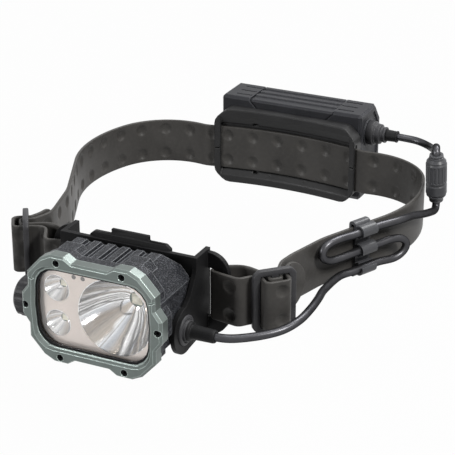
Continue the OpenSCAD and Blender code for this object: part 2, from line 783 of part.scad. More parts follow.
// Lead ----------------------------------------------------------------------------------------
lead_sides = 10;
relief_x = 15;
function clip_point(s, out, z) = [
    clip_at.x + s * temple_dir.x + out * temple_dir.y,
    clip_at.y + s * temple_dir.y - out * temple_dir.x, z];
lead_start = housing_half_w - 2;
relief_end = ear_out + cap_t + relief_x;
plug_at = [head_half_w + 1, 52, 22.8];
plug_lean = 8;
neck_l = 4;
plug_end = sleeve_l / 2 + neck_l;
// Point on the connector's axis, d above its middle
function plug_point(d) = plug_at + d * [0, -sin(plug_lean), cos(plug_lean)];
lamp_route = [
    [lead_start, pivot_y, pivot_z], [46, pivot_y, pivot_z],
    [relief_end, pivot_y, pivot_z], [relief_end + 2.5, pivot_y, pivot_z], [67, -119.6, -10.6],
    [78, -112, -10], [86.5, -103, -9], [91, -92, -7.5], [91.5, -78, -7], [90, -64, -7.5],
    [88, -52, -8.5],
    clip_point(-20, grip_off, -9.6), clip_point(-10, grip_off, grip_zs[2]),
    clip_point(0, grip_off, grip_zs[2]), clip_point(10, grip_off, grip_zs[2]),
    clip_point(21, grip_off + 1, -10.6), clip_point(27.5, grip_off + 1.6, -8.6),
    clip_point(30.5, grip_off + 2, -4.4), clip_point(27.5, grip_off + 1.6, -0.2),
    clip_point(20, grip_off + 0.6, 1.6), clip_point(10, grip_off, grip_zs[1]),
    clip_point(0, grip_off, grip_zs[1]), clip_point(-10, grip_off, grip_zs[1]),
    clip_point(-24, grip_off, 1.4), clip_point(-30.5, grip_off, 3.4),
    clip_point(-33.6, grip_off, 7.8), clip_point(-30, grip_off, 12),
    clip_point(-21, grip_off, 13), clip_point(-10, grip_off, grip_zs[0]),
    clip_point(0, grip_off, grip_zs[0]), clip_point(10, grip_off, grip_zs[0]),
    clip_point(24, grip_off + 1.2, 12), [110.8, 24.4, 9.2], [112.8, 34, 6.6], [114.2, 44, 4.2],
    [114.6, 51.6, 2.9],
    plug_point(-plug_end - 2), plug_point(-plug_end), plug_point(2 - plug_end)];
case_l = cell_l + 2 * end_room;
gland_y = 118;
gland_z = 17;
gland_x = case_l / 2;
collar_l = 11.5;
rear_relief_l = 7.5;
gland_end = gland_x + collar_l + rear_relief_l;
battery_route = [
    plug_point(plug_end - 2), plug_point(plug_end), [113.5, 50.6, 40], [112.2, 54.6, 40.2],
    [109.9, 61, 37.4], [106.5, 71, 32.4], [103, 80, 28.4], [99.7, 89, 24.6], [96.4, 98, 21],
    [92.8, 106.5, 18], [88.2, 113.6, 16.2], [82.9, 117.8, 15.8], [77.4, 119.2, 16.2],
    [gland_end + 6, gland_y + 0.6, gland_z - 0.4], [gland_end + 2.2, gland_y, gland_z],
    [gland_end, gland_y, gland_z], [gland_end - 3, gland_y, gland_z]];

// Curve through the route's points, with k steps between neighbours
function spline(p, k) = concat(
    [for (i = [0:len(p) - 2]) for (j = [0:k - 1])
        let (
            a = p[max(i - 1, 0)], b = p[i], c = p[i + 1], d = p[min(i + 2, len(p) - 1)], t = j / k,
            m1 = (c - a) / 2, m2 = (d - b) / 2
        )
        b * (2 * t * t * t - 3 * t * t + 1) + c * (3 * t * t - 2 * t * t * t)
            + m1 * (t * t * t - 2 * t * t + t) + m2 * (t * t * t - t * t)],
    [p[len(p) - 1]]);
// Sideways directions that turn as little as they can along the curve
function carry(p, i, side) =
    i >= len(p) ? [] :
    let (
        d = unit(p[min(i + 1, len(p) - 1)] - p[max(i - 1, 0)]),
        s = unit(side - d * (side * d))
    )
    concat([[s, cross(d, s)]], carry(p, i + 1, s));
module tube(route, r, k) {
    p = spline(route, k);
    axes = carry(p, 0, [0, 0.3, 1]);
    n = lead_sides;
    last = len(p) - 1;
    points = [for (i = [0:last]) for (j = [0:n - 1])
        p[i] + r * (axes[i][0] * cos(360 * j / n) + axes[i][1] * sin(360 * j / n))];
    walls = [for (i = [0:last - 1]) for (j = [0:n - 1]) for (half = [0, 1])
        let (a = i * n + j, b = i * n + (j + 1) % n)
        half == 0 ? [a, b, a + n] : [b, b + n, a + n]];
    ends = concat(
        [for (j = [1:n - 2]) [0, j + 1, j]],
        [for (j = [1:n - 2]) [last * n, last * n + j, last * n + j + 1]]
    );
    polyhedron(points, concat(walls, ends));
}

module lamp_lead() {
    color([0.14, 0.14, 0.15]) tube(lamp_route, lead_d / 2, 2);
}

module battery_lead() {
    color([0.14, 0.14, 0.15]) tube(battery_route, lead_d / 2, 2);
}

module pivot_relief() {
    x = ear_out + cap_t;
    bore = lead_d / 2 + 0.05;
    color([0.13, 0.13, 0.14]) turned_x(pivot_y, pivot_z, [
        [bore, x], [5.4, x], [5, x + 1.4], [3.9, x + 1.8], [3.6, x + relief_x - 1],
        [3.3, x + relief_x], [bore, x + relief_x]]);
}

// In-line connector, with the plug below the socket
join_gap = 0.2;
shell_r = sleeve_r - 1.2;
module at_plug() {
    translate(plug_at) rotate([plug_lean, 0, 0]) children();
}

module neck() {
    bore = lead_d / 2 + 0.05;
    translate([0, 0, sleeve_l / 2]) rotate_extrude($fn = smooth) polygon([
        [bore, 0], [sleeve_r - 0.4, 0], [sleeve_r - 1.4, 1.2], [4.4, 1.6], [4.2, neck_l - 1.5],
        [3.8, neck_l - 1.3], [3.8, neck_l - 0.9], [4.1, neck_l - 0.7], [4, neck_l], [bore, neck_l]]);
}

module connector_plug() {
    color([0.15, 0.16, 0.17]) at_plug() mirror([0, 0, 1]) {
        neck();
        translate([0, 0, join_gap]) cylinder(h = sleeve_l / 2 - join_gap, r = shell_r, $fn = smooth);
    }
}

module connector_socket() {
    color([0.15, 0.16, 0.17]) at_plug() difference() {
        union() {
            neck();
            cylinder(h = sleeve_l / 2, r = shell_r, $fn = smooth);
        }
        for (p = pins_at) translate([p.x, p.y, -1]) cylinder(h = pin_l, r = pin_r + 0.05, $fn = 24);
    }
}

pin_r = 0.5;
pin_l = 5;
pins_at = [for (i = [0:3]) [2.2 * cos(90 * i + 45), 2.2 * sin(90 * i + 45)]];
module contact_pins() {
    color([0.85, 0.7, 0.3]) at_plug() for (p = pins_at)
        translate([p.x, p.y, -join_gap]) cylinder(h = pin_l - 1.2, r = pin_r, $fn = 24);
}

module coupling_sleeve() {
    rib_n = 18;
    band = 7;
    low = 0.4 - sleeve_l / 2;
    high = sleeve_l / 2 - 0.4;
    color([0.17, 0.18, 0.19]) at_plug() difference() {
        rotate_extrude($fn = smooth) polygon([
            [shell_r + run_gap, low], [sleeve_r - 0.8, low], [sleeve_r, low + 1.2],
            [sleeve_r, low + band - 0.4], [sleeve_r - 0.5, low + band], [sleeve_r - 0.5, low + band + 0.9],
            [sleeve_r, low + band + 1.3], [sleeve_r, high - 1.2], [sleeve_r - 0.8, high],
            [shell_r + run_gap, high]]);
        for (i = [0:rib_n - 1]) rotate([0, 0, 360 * i / rib_n])
            translate([sleeve_r + 0.25, 0, low + band + 2.2])
                cylinder(h = high - low - band - 4, r = 0.6, $fn = 16);
    }
}

module gland_collar() {
    x = gland_x;
    bore = lead_d / 2 + 0.6;
    color([0.14, 0.14, 0.15]) turned_x(gland_y, gland_z, [
        [bore, x], [7.6, x], [7.6, x + 4], [6.9, x + 4.4], [6.9, x + 5.2], [6.5, x + 5.2],
        [6.2, x + 8.2], [4.9, x + 8.6], [4.6, x + 9.8], [5, x + 10.2], [5, x + collar_l],
        [bore, x + collar_l]]);
}

module battery_relief() {
    x = gland_x + collar_l;
    bore = lead_d / 2 + 0.05;
    color([0.12, 0.12, 0.13]) turned_x(gland_y, gland_z, [
        [bore, x], [3.7, x], [3.4, x + rear_relief_l - 1], [3.7, x + rear_relief_l - 0.8],
        [3.7, x + rear_relief_l], [bore, x + rear_relief_l]]);
}

// Battery case --------------------------------------------------------------------------------
case_back = case_front + case_d;
case_top = case_rise + case_h / 2;
case_bottom = case_rise - case_h / 2;
case_y = (case_front + case_back) / 2;
step_in = 0.9;
seal_w = 0.8;
waist = 7;
// Cross-section of the case, drawn in by e
function case_section(e) =
    let (
        f = case_front + e, b = case_back - e, t = case_top - e, u = case_bottom + e,
        k = 0.59 * e, a = max(0.4, 1.6 - k), w = max(0.6, 3 - k), h = 9 - k
    )
    [[f + a, t], [b - h, t], [b, t - h - 2], [b, u + h], [b - h, u], [f + w, u], [f, u + w], [f, t - a]];
// Edge of an end cap, seen from the front, on the side of +X
function cap_edge(g) = [
    [case_l / 2 - cap_l + g, case_top + 1], [case_l / 2 - cap_l + g, case_top - 2],
    [case_l / 2 - cap_l - waist + g, case_top - 2 - waist],
    [case_l / 2 - cap_l - waist + g, case_bottom + 2 + waist],
    [case_l / 2 - cap_l + g, case_bottom + 2], [case_l / 2 - cap_l + g, case_bottom - 1]];

module case_hollow() {
    slab_x(case_wall - case_l / 2, case_l - 2 * case_wall) polygon(case_section(case_wall + step_in));
}

module case_shell() {
    rib_h = 0.7;
    edge = cap_edge(-seal_w);
    color([0.17, 0.17, 0.18]) difference() {
        intersection() {
            union() {
                slab_x(-case_l / 2, case_l) polygon(case_section(step_in));
                for (y = [case_front + 8.2:7:case_back - 9]) slab_x(-case_l / 2, case_l)
                    translate([y, case_top - step_in - 0.5]) square([3, rib_h + 0.5]);
            }
            slab_y(case_front - 1, case_d + 2) polygon(mirrored(edge));
        }
        case_hollow();
        for (p = cradle_screws_at) rod_y(case_front - 1, case_wall + 4, 1.15, p.x, p.y);
    }
}

module cap_block(g0, g1) {
    slab_y(case_front - 1, case_d + 2) difference() {
        polygon(concat(cap_edge(g0), [[case_l, case_bottom - 1], [case_l, case_top + 1]]));
        if (g1 < 100) polygon(concat(cap_edge(g1), [[case_l, case_bottom - 1], [case_l, case_top + 1]]));
    }
}

vent_l = 11;
cap_screw_r = 1.1;
screw_boss_r = 2.8;
cap_screws_at = [[case_front + 5, case_top - 5.6], [case_back - 8, case_top - 8.6],
    [case_front + 5.4, case_bottom + 6], [case_back - 7.6, case_bottom + 7.6]];
bevel = 1.4;
// Plain end cap on the side of +X, without its ports
module end_cap() {
    difference() {
        intersection() {
            union() {
                slab_x(0, case_l / 2 - bevel) polygon(case_section(0));
                slab_x(case_l / 2 - bevel, bevel / 2) polygon(case_section(bevel / 2));
                slab_x(case_l / 2 - bevel / 2, bevel / 2) polygon(case_section(bevel));
            }
            cap_block(0, 100);
        }
        difference() {
            case_hollow();
            for (p = cap_screws_at) rod_x(case_l / 2 - 10, 10, screw_boss_r, p.x, p.y);
        }
        for (y = [case_front + 5.2:7.3:case_back - 12])
            translate([case_l / 2 - cap_l + 0.8, y, case_top - 0.9]) cube([vent_l, 1.7, 2]);
        slab_x(case_l / 2 - 0.8, 2) polygon(case_section(bevel + 2.6));
        for (p = cap_screws_at) rod_x(case_l / 2 - 6, 8, cap_screw_r + 0.05, p.x, p.y);
    }
}

module right_cap() {
    color([0.15, 0.15, 0.16]) difference() {
        union() {
            end_cap();
            rod_x(case_l / 2 - case_wall, case_wall, 8.6, gland_y, gland_z);
        }
        rod_x(case_l / 2 - case_wall - 1, case_wall + 2, lead_d / 2 + 0.6, gland_y, gland_z);
    }
}

port_y = case_y;
port_z = case_rise;
port_w = 9.4;
port_h = 3.6;
flap_w = 13;
flap_h = 9;
flap_t = 1;
module left_cap() {
    color([0.15, 0.15, 0.16]) difference() {
        mirror([1, 0, 0]) end_cap();
        slab_x(-case_l / 2 - 1, case_wall + 4) translate([port_y, port_z])
            square([port_w, port_h], center = true);
    }
}

module cap_seals() {
    ring = case_wall + step_in - 0.8;
    color([0.3, 0.3, 0.3]) for (s = [0, 1]) mirror([s, 0, 0]) intersection() {
        cap_block(-seal_w + 0.05, -0.05);
        slab_x(0, case_l / 2) difference() {
            polygon(case_section(step_in + 0.4));
            polygon(case_section(ring));
        }
    }
}

module cap_screws() {
    color([0.55, 0.55, 0.57]) for (s = [0, 1]) mirror([s, 0, 0]) for (p = cap_screws_at)
        difference() {
            rod_x(case_l / 2 - 5.6, 4.6, cap_screw_r, p.x, p.y);
            translate([case_l / 2 - 1.8, p.x, p.y]) rotate([0, 90, 0])
                cylinder(h = 2, r = 0.6, $fn = 6);
        }
}

cell_z = [for (s = [-1, 1]) case_rise + s * (cell_d / 2 + 0.3)];
module cells() {
    color([0.2, 0.45, 0.75]) for (z = cell_z) {
        rod_x(-cell_l / 2, cell_l, cell_d / 2, case_y, z);
    }
}

spring_x = cell_l / 2;
end_in = case_l / 2 - case_wall;
module cell_holders() {
    color([0.1, 0.1, 0.1]) {
        for (x = [-cell_l / 4 - 1, cell_l / 4 - 1]) slab_x(x, 2) difference() {
            polygon(case_section(case_wall + step_in + 0.1));
            for (z = cell_z) translate([case_y, z]) circle(r = cell_d / 2 + 0.1, $fn = smooth);
        }
        slab_x(-spring_x - 2.5, 1.6) intersection() {
            polygon(case_section(case_wall + step_in + 0.1));
            difference() {
                translate([case_y - 12, case_bottom]) square([24, case_h]);
                for (p = cap_screws_at) translate(p) circle(r = screw_boss_r + 0.3, $fn = smooth);
            }
        }
    }
}

// Bent leaf that presses on a cell's end
module contact_springs() {
    color([0.8, 0.75, 0.6]) for (z = cell_z) slab_y(case_y - 3, 6) polygon(ribbon(open_path([
        [end_in - 0.25, z - 7, 0], [end_in - 0.25, z + 6, 1.5], [spring_x + 1, z + 1, 2],
        [spring_x + 3, z - 5, 0]], 20), 0.4));
}

module contact_plates() {
    plate_h = cell_z[1] - cell_z[0] + 18;
    color([0.8, 0.75, 0.6]) slab_x(-spring_x - 0.9, 0.6)
        translate([case_y - 5, case_rise - plate_h / 2]) square([10, plate_h]);
}

charge_board_t = 1.2;
board_x = -spring_x - 2.7 - charge_board_t;
module charge_board() {
    room_d = case_d - 16;
    room_h = case_h - 25;
    color([0.12, 0.35, 0.22]) slab_x(board_x, charge_board_t)
        translate([case_y - room_d / 2, case_rise - room_h / 2]) square([room_d, room_h]);
}

module usb_socket() {
    mouth_x = -case_l / 2 + 1.8;
    depth = board_x - mouth_x;
    shell = 0.4;
    color([0.75, 0.76, 0.78]) difference() {
        slab_x(mouth_x, depth) translate([port_y, port_z])
            square([port_w - 0.4, port_h - 0.4], center = true);
        slab_x(mouth_x - 1, depth) translate([port_y, port_z])
            square([port_w - 0.4 - 2 * shell, port_h - 0.4 - 2 * shell], center = true);
    }
}

flap_x = -case_l / 2 + 0.8;
hinge_y = port_y + flap_w / 2 + 1.4;
module port_cover() {
    tongue = 1.2;
    color([0.09, 0.09, 0.09]) {
        slab_x(flap_x - flap_t - 0.1, flap_t) polygon(rounded([
            [port_y - flap_w / 2, port_z - flap_h / 2], [port_y - flap_w / 2, port_z + flap_h / 2],
            [hinge_y, port_z + flap_h / 2], [hinge_y, port_z - flap_h / 2]], 1.2));
        slab_x(flap_x - 0.6, tongue) translate([port_y, port_z])
            square([port_w - 1.6, port_h - 1], center = true);
    }
}

// Cradle --------------------------------------------------------------------------------------
window_top = strap_w / 2 + 2.4;
window_bottom = -strap_w / 2 - 0.8;
window_side = cradle_w / 2 - cradle_bar_w;
cradle_screws_at = [for (x = [-12, 12]) for (z = [cradle_top - 5, cradle_bottom + 5.6]) [x, z]];

// What lies between two radii about the cradle's axis
module shell(r0, r1, z0, z1) {
    translate([0, cradle_axis, z0]) difference() {
        cylinder(h = z1 - z0, r = r1, $fn = 256);
        translate([0, 0, -1]) cylinder(h = z1 - z0 + 2, r = r0, $fn = 256);
    }
}

// Profile cut away between the rim and the window's edge at z, where the band is w wide
module slope(z, w) {
    polygon([[cradle_r - 1, z - sign(w)], [cradle_r - 1, z + w], [cradle_r, z + w],
        [cradle_r + cradle_dish, z], [cradle_r + cradle_dish, z - sign(w)]]);
}

module cradle() {
    split = 0.8;
    notch_x = -22;
    plate_r = cradle_r + cradle_bar_t + lane_t;
    mid_z = (cradle_top + cradle_bottom) / 2;
    tall = cradle_top - cradle_bottom;
    color([0.11, 0.11, 0.11]) difference() {
        slab_y(case_front - 20, 20) translate([0, mid_z])
            polygon(rounded(box_outline(cradle_w, tall, 7, 7), 7));
        translate([0, cradle_axis, cradle_bottom - 1]) cylinder(h = tall + 2, r = cradle_r, $fn = 256);
        intersection() {
            shell(cradle_r - 10, plate_r, window_bottom, window_top);
            translate([-window_side, case_front - 22, window_bottom - 1])
                cube([2 * window_side, 22, window_top - window_bottom + 2]);
        }
        shell(cradle_r + cradle_bar_t, plate_r, window_bottom, window_top);
        intersection() {
            translate([0, cradle_axis, 0]) rotate_extrude($fn = 256) {
                slope(window_top, cradle_top - cradle_rim - window_top);
                slope(window_bottom, cradle_bottom + cradle_rim - window_bottom);
            }
            translate([-window_side, case_front - 22, cradle_bottom])
                cube([2 * window_side, 22, cradle_top - cradle_bottom]);
        }
        for (s = [-1, 1]) translate([s * cradle_w / 2 - 10, cradle_axis, s + 0.6])
            cube([20, cradle_r + cradle_bar_t + 1, split]);
        for (z = [window_top - 0.1, window_bottom - 1.4])
            translate([notch_x - 1.6, case_front - 22, z]) cube([3.2, 20.6, 1.5]);
        for (p = cradle_screws_at) rod_y(case_front - 4, 8, 1.15, p.x, p.y);
    }
}

module cradle_screws() {
    head_y = case_front + step_in + case_wall;
    color([0.5, 0.5, 0.52]) for (p = cradle_screws_at) {
        rod_y(case_front - 3.6, head_y - case_front + 4, 1.1, p.x, p.y);
        rod_y(head_y, 1.5, 2.2, p.x, p.y);
    }
}

bezel();
bezel_screws();
lens();
lens_seal();
reflector_plate();
spot_reflector();
flood_reflectors();
indicator_studs();
spot_led();
flood_leds();
led_board();
flood_board();
driver_board();
housing();
friction_washers();
mode_encoder();
knob_shaft();
mode_knob();
bracket();
pivot_cap_right();
pivot_cap_left();
pad_carrier();
forehead_pad();
strap();
right_buckle();
left_buckle();
cable_clip();
pivot_relief();
lamp_lead();
connector_plug();
connector_socket();
contact_pins();
coupling_sleeve();
battery_lead();
battery_relief();
gland_collar();
cradle();
cradle_screws();
case_shell();
right_cap();
left_cap();
cap_seals();
cap_screws();
cells();
cell_holders();
contact_springs();
contact_plates();
charge_board();
usb_socket();
port_cover();
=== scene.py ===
import json
import math

import bmesh
import bpy
from mathutils import Matrix, Vector


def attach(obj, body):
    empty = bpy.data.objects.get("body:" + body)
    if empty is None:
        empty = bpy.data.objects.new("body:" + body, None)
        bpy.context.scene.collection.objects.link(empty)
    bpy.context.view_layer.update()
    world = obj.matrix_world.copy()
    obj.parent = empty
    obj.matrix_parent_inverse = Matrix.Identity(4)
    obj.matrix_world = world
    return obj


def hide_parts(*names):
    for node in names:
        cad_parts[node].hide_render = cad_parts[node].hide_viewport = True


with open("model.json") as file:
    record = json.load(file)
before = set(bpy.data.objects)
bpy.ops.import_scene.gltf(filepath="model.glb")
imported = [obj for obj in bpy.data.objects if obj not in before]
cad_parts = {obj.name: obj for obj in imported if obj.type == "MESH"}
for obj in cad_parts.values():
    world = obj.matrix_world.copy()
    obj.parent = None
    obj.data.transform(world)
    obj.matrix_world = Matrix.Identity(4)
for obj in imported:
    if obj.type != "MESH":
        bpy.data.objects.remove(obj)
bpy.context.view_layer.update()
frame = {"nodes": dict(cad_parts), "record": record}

# Looks of the cap lamp, in the CAD's frame: the lamp faces -Y and the battery case is at +Y. The
# scene is in metres. Names that end in _mm or _MM are millimetres, and so is every length in the
# sections for the strap, the leads, the pad and the reflectors, where MM turns them into metres.
MM = 0.001
NODES = frame["nodes"]
SLOT_OF = {p["node"]: p["material_slot"] for p in frame["record"]["subparts"]}
BODY_OF = {n: b for b, names in frame["record"]["behaviour"]["bodies"].items() for n in names}


# Camera, floor and light ----------------------------------------------------------------------
CAMERA_AT = (0.3821, -0.7859, 0.3821)
CAMERA_AZIMUTH = 25.6
CAMERA_DOWN = 24.16
CAMERA_LENS_MM = 129.44
CAMERA_SENSOR_MM = 36
CAMERA_NEAREST = 0.01
FLOOR_Z = -0.066
FLOOR_HALF = 6.0
FLOOR_GREY = (0.22, 0.22, 0.22)
# Share of the floor's own light in what the camera sees of it; the rest keeps the shadow
BACKDROP_MIX = 0.98
AMBIENT = 0.03
AMBIENT_TINT = (0.93, 0.96, 1.0)
LAMP_TARGET = (0, -0.02, 0)
# Area lamps: name, place, side, watts and tint
LAMPS = (
    ("key", (0.90, -0.25, 0.90), 0.3, 17, (1.0, 0.99, 0.97)),
    ("rim", (0.36, 0.70, 1.05), 0.55, 14, (1.0, 1.0, 1.0)),
    ("top", (0.1, 0.0, 1.3), 0.4, 3.5, (0.97, 0.99, 1.0)),
    ("front", (-0.72, -1.10, 0.50), 0.26, 10, (1.0, 1.0, 1.0)),
)


def aim(obj, place, target):
    """Puts a lamp at place, with its -Z axis towards target."""
    obj.location = place
    obj.rotation_euler = (Vector(target) - Vector(place)).to_track_quat("-Z", "Y").to_euler()


def add_camera():
    """The camera as it was fitted: turned by its azimuth, then tipped down."""
    az, down = math.radians(CAMERA_AZIMUTH), math.radians(CAMERA_DOWN)
    right = Vector((math.cos(az), math.sin(az), 0))
    look = Vector((-math.sin(az) * math.cos(down), math.cos(az) * math.cos(down), -math.sin(down)))
    axes = Matrix((right, right.cross(look), -look)).transposed().to_4x4()
    camera = bpy.data.objects.new("camera", bpy.data.cameras.new("camera"))
    camera.matrix_world = Matrix.Translation(CAMERA_AT) @ axes
    camera.data.sensor_width = CAMERA_SENSOR_MM
    camera.data.lens = CAMERA_LENS_MM
    camera.data.clip_start = CAMERA_NEAREST
    bpy.context.collection.objects.link(camera)
    bpy.context.scene.camera = camera


def add_lamp(name, place, side, watts, tint):
    """Square area lamp that faces the object."""
    lamp = bpy.data.lights.new(name, "AREA")
    lamp.shape = "RECTANGLE"
    lamp.size = lamp.size_y = side
    lamp.energy = watts
    lamp.color = tint
    obj = bpy.data.objects.new(name, lamp)
    aim(obj, place, LAMP_TARGET)
    bpy.context.collection.objects.link(obj)


def seen_ray(tree):
    """1 on the rays that show the background: camera, glossy and transmission rays."""
    path = tree.nodes.new("ShaderNodeLightPath")
    either = path.outputs["Is Camera Ray"]
    for ray in ("Is Glossy Ray", "Is Transmission Ray"):
        top = tree.nodes.new("ShaderNodeMath")
        top.operation = "MAXIMUM"
        tree.links.new(either, top.inputs[0])
        tree.links.new(path.outputs[ray], top.inputs[1])
        either = top.outputs[0]
    return either


def add_world():
    """White where it is seen or mirrored, and a faint cool light on everything else."""
    world = bpy.data.worlds.new("studio")
    world.use_nodes = True
    tree = world.node_tree
    tree.nodes.clear()
    ambient = tree.nodes.new("ShaderNodeBackground")
    ambient.inputs["Color"].default_value = (*AMBIENT_TINT, 1)
    ambient.inputs["Strength"].default_value = AMBIENT
    white = tree.nodes.new("ShaderNodeBackground")
    white.inputs["Color"].default_value = (1, 1, 1, 1)
    white.inputs["Strength"].default_value = 1.0
    mix = tree.nodes.new("ShaderNodeMixShader")
    out = tree.nodes.new("ShaderNodeOutputWorld")
    tree.links.new(seen_ray(tree), mix.inputs[0])
    tree.links.new(ambient.outputs[0], mix.inputs[1])
    tree.links.new(white.outputs[0], mix.inputs[2])
    tree.links.new(mix.outputs[0], out.inputs["Surface"])
    bpy.context.scene.world = world


def floor_finish():
    """A grey card that takes the shadow, under a white glow where it is seen or mirrored."""
    mat = bpy.data.materials.new("pale_floor")
    mat.use_nodes = True
    tree = mat.node_tree
    tree.nodes.clear()
    card = tree.nodes.new("ShaderNodeBsdfDiffuse")
    card.inputs["Color"].default_value = (*FLOOR_GREY, 1)
    glow = tree.nodes.new("ShaderNodeEmission")
    share = tree.nodes.new("ShaderNodeMath")
    share.operation = "MULTIPLY"
    share.inputs[1].default_value = BACKDROP_MIX
    mix = tree.nodes.new("ShaderNodeMixShader")
    out = tree.nodes.new("ShaderNodeOutputMaterial")
    tree.links.new(seen_ray(tree), share.inputs[0])
    tree.links.new(share.outputs[0], mix.inputs[0])
    tree.links.new(card.outputs[0], mix.inputs[1])
    tree.links.new(glow.outputs[0], mix.inputs[2])
    tree.links.new(mix.outputs[0], out.inputs["Surface"])
    return mat


def add_floor():
    """Pale floor that keeps a faint shadow and shows as white."""
    r = FLOOR_HALF
    corners = [(-r, -r, FLOOR_Z), (r, -r, FLOOR_Z), (r, r, FLOOR_Z), (-r, r, FLOOR_Z)]
    mesh = bpy.data.meshes.new("floor")
    mesh.from_pydata(corners, [], [(0, 1, 2, 3)])
    mesh.materials.append(floor_finish())
    floor = bpy.data.objects.new("floor", mesh)
    bpy.context.collection.objects.link(floor)


def add_studio():
    """Everything that isn't the object."""
    add_camera()
    add_world()
    add_floor()
    for lamp in LAMPS:
        add_lamp(*lamp)


# Finishes -------------------------------------------------------------------------------------
BEVEL_SAMPLES = 6
# Dot product of the rounded normal and the true one, on a fully lightened edge and on flat ground
EDGE_LEAN, FLAT_LEAN = 0.86, 0.995
# Sockets of a Mix node that mixes colours
MIX_SHARE, MIX_A, MIX_B, MIX_RESULT = 0, 6, 7, 2


def rgba(colour):
    """The colour as it is where a node gives it, and else with its alpha."""
    return colour if isinstance(colour, bpy.types.NodeSocket) else (*colour, 1)


def tone(colour, k):
    """The colour made k times as light."""
    return tuple(min(1.0, c * k) for c in colour)


class Finish:
    """A material on one Principled node, fed by noise in object space."""

    def __init__(self, name, **fixed):
        self.mat = bpy.data.materials.new(name)
        self.mat.use_nodes = True
        self.tree = self.mat.node_tree
        self.bsdf = self.tree.nodes["Principled BSDF"]
        self.normal = None
        for socket, value in fixed.items():
            self.bsdf.inputs[socket.replace("_", " ")].default_value = value
        self.coord = self.add("ShaderNodeTexCoord").outputs["Object"]

    def add(self, kind, **settings):
        """New node of that kind, with its settings."""
        node = self.tree.nodes.new(kind)
        for key, value in settings.items():
            setattr(node, key, value)
        return node

    def feed(self, value, socket):
        """Links value to the socket where a node gives it, and else sets the socket to it."""
        if isinstance(value, bpy.types.NodeSocket):
            self.tree.links.new(value, socket)
        else:
            socket.default_value = value

    def noise(self, size_mm, detail=2.0, stretch=(1, 1, 1)):
        """Noise whose features are about size_mm across, longer along an axis by stretch."""
        place = self.add("ShaderNodeMapping")
        place.inputs["Scale"].default_value = [1000 / size_mm / s for s in stretch]
        tex = self.add("ShaderNodeTexNoise")
        tex.inputs["Scale"].default_value = 1.0
        tex.inputs["Detail"].default_value = detail
        self.feed(self.coord, place.inputs["Vector"])
        self.feed(place.outputs[0], tex.inputs["Vector"])
        return tex.outputs["Fac"]

    def pebbles(self, size_mm):
        """Distance from the middle of cells that are about size_mm across."""
        tex = self.add("ShaderNodeTexVoronoi")
        tex.inputs["Scale"].default_value = 1000 / size_mm
        self.feed(self.coord, tex.inputs["Vector"])
        return tex.outputs["Distance"]

    def spread(self, value, low, high, start=0.3, end=0.7):
        """Maps value from start..end to low..high, and holds it there."""
        node = self.add("ShaderNodeMapRange")
        self.feed(value, node.inputs["Value"])
        node.inputs["From Min"].default_value = start
        node.inputs["From Max"].default_value = end
        node.inputs["To Min"].default_value = low
        node.inputs["To Max"].default_value = high
        return node.outputs["Result"]

    def blend(self, share, a, b, how="MIX"):
        """Colour a where share is 0, and b over it where share is 1."""
        node = self.add("ShaderNodeMix", data_type="RGBA", blend_type=how)
        self.feed(share, node.inputs[MIX_SHARE])
        self.feed(rgba(a), node.inputs[MIX_A])
        self.feed(rgba(b), node.inputs[MIX_B])
        return node.outputs[MIX_RESULT]

    def edges(self, radius_mm):
        """1 on edges narrower than the radius, 0 on flat ground."""
        soft = self.add("ShaderNodeBevel", samples=BEVEL_SAMPLES)
        soft.inputs["Radius"].default_value = radius_mm * MM
        true = self.add("ShaderNodeNewGeometry")
        dot = self.add("ShaderNodeVectorMath", operation="DOT_PRODUCT")
        self.feed(soft.outputs[0], dot.inputs[0])
        self.feed(true.outputs["Normal"], dot.inputs[1])
        return self.spread(dot.outputs["Value"], 1.0, 0.0, EDGE_LEAN, FLAT_LEAN)

    def soften(self, radius_mm):
        """Rounds the look of sharp edges by that radius."""
        node = self.add("ShaderNodeBevel", samples=BEVEL_SAMPLES)
        node.inputs["Radius"].default_value = radius_mm * MM
        self.normal = node.outputs[0]

    def bump(self, height, depth_mm):
        """Relief of that depth, on top of the relief and softening so far."""
        node = self.add("ShaderNodeBump")
        node.inputs["Distance"].default_value = depth_mm * MM
        node.inputs["Strength"].default_value = 1.0
        self.feed(height, node.inputs["Height"])
        if self.normal:
            self.feed(self.normal, node.inputs["Normal"])
        self.normal = node.outputs[0]

    def done(self, colour, rough):
        """The finished material, with its colour, roughness and relief joined up."""
        self.feed(rgba(colour), self.bsdf.inputs["Base Color"])
        self.feed(rough, self.bsdf.inputs["Roughness"])
        if self.normal:
            self.feed(self.normal, self.bsdf.inputs["Normal"])
        return self.mat


# Moulded surfaces: how far their edges are softened, the size and strength of their mottling, the
# share and lightness of their light grains, and the width of edges that are lighter from wear and
# a painted highlight, and the size of worn patches
MOULDED_SOFT_MM = 0.35
MOTTLE_MM, MOTTLE = 14, 0.15
GRAIN_SHARE, GRAIN_TONE = 0.55, 1.9
EDGE_WEAR_AND_HIGHLIGHT_MM, WORN_PATCH_MM, LEAST_WEAR = 0.5, 3, 0.35
# How much smoother and rougher than its mean a mottled surface gets
SMOOTHER, ROUGHER = 0.05, 0.06


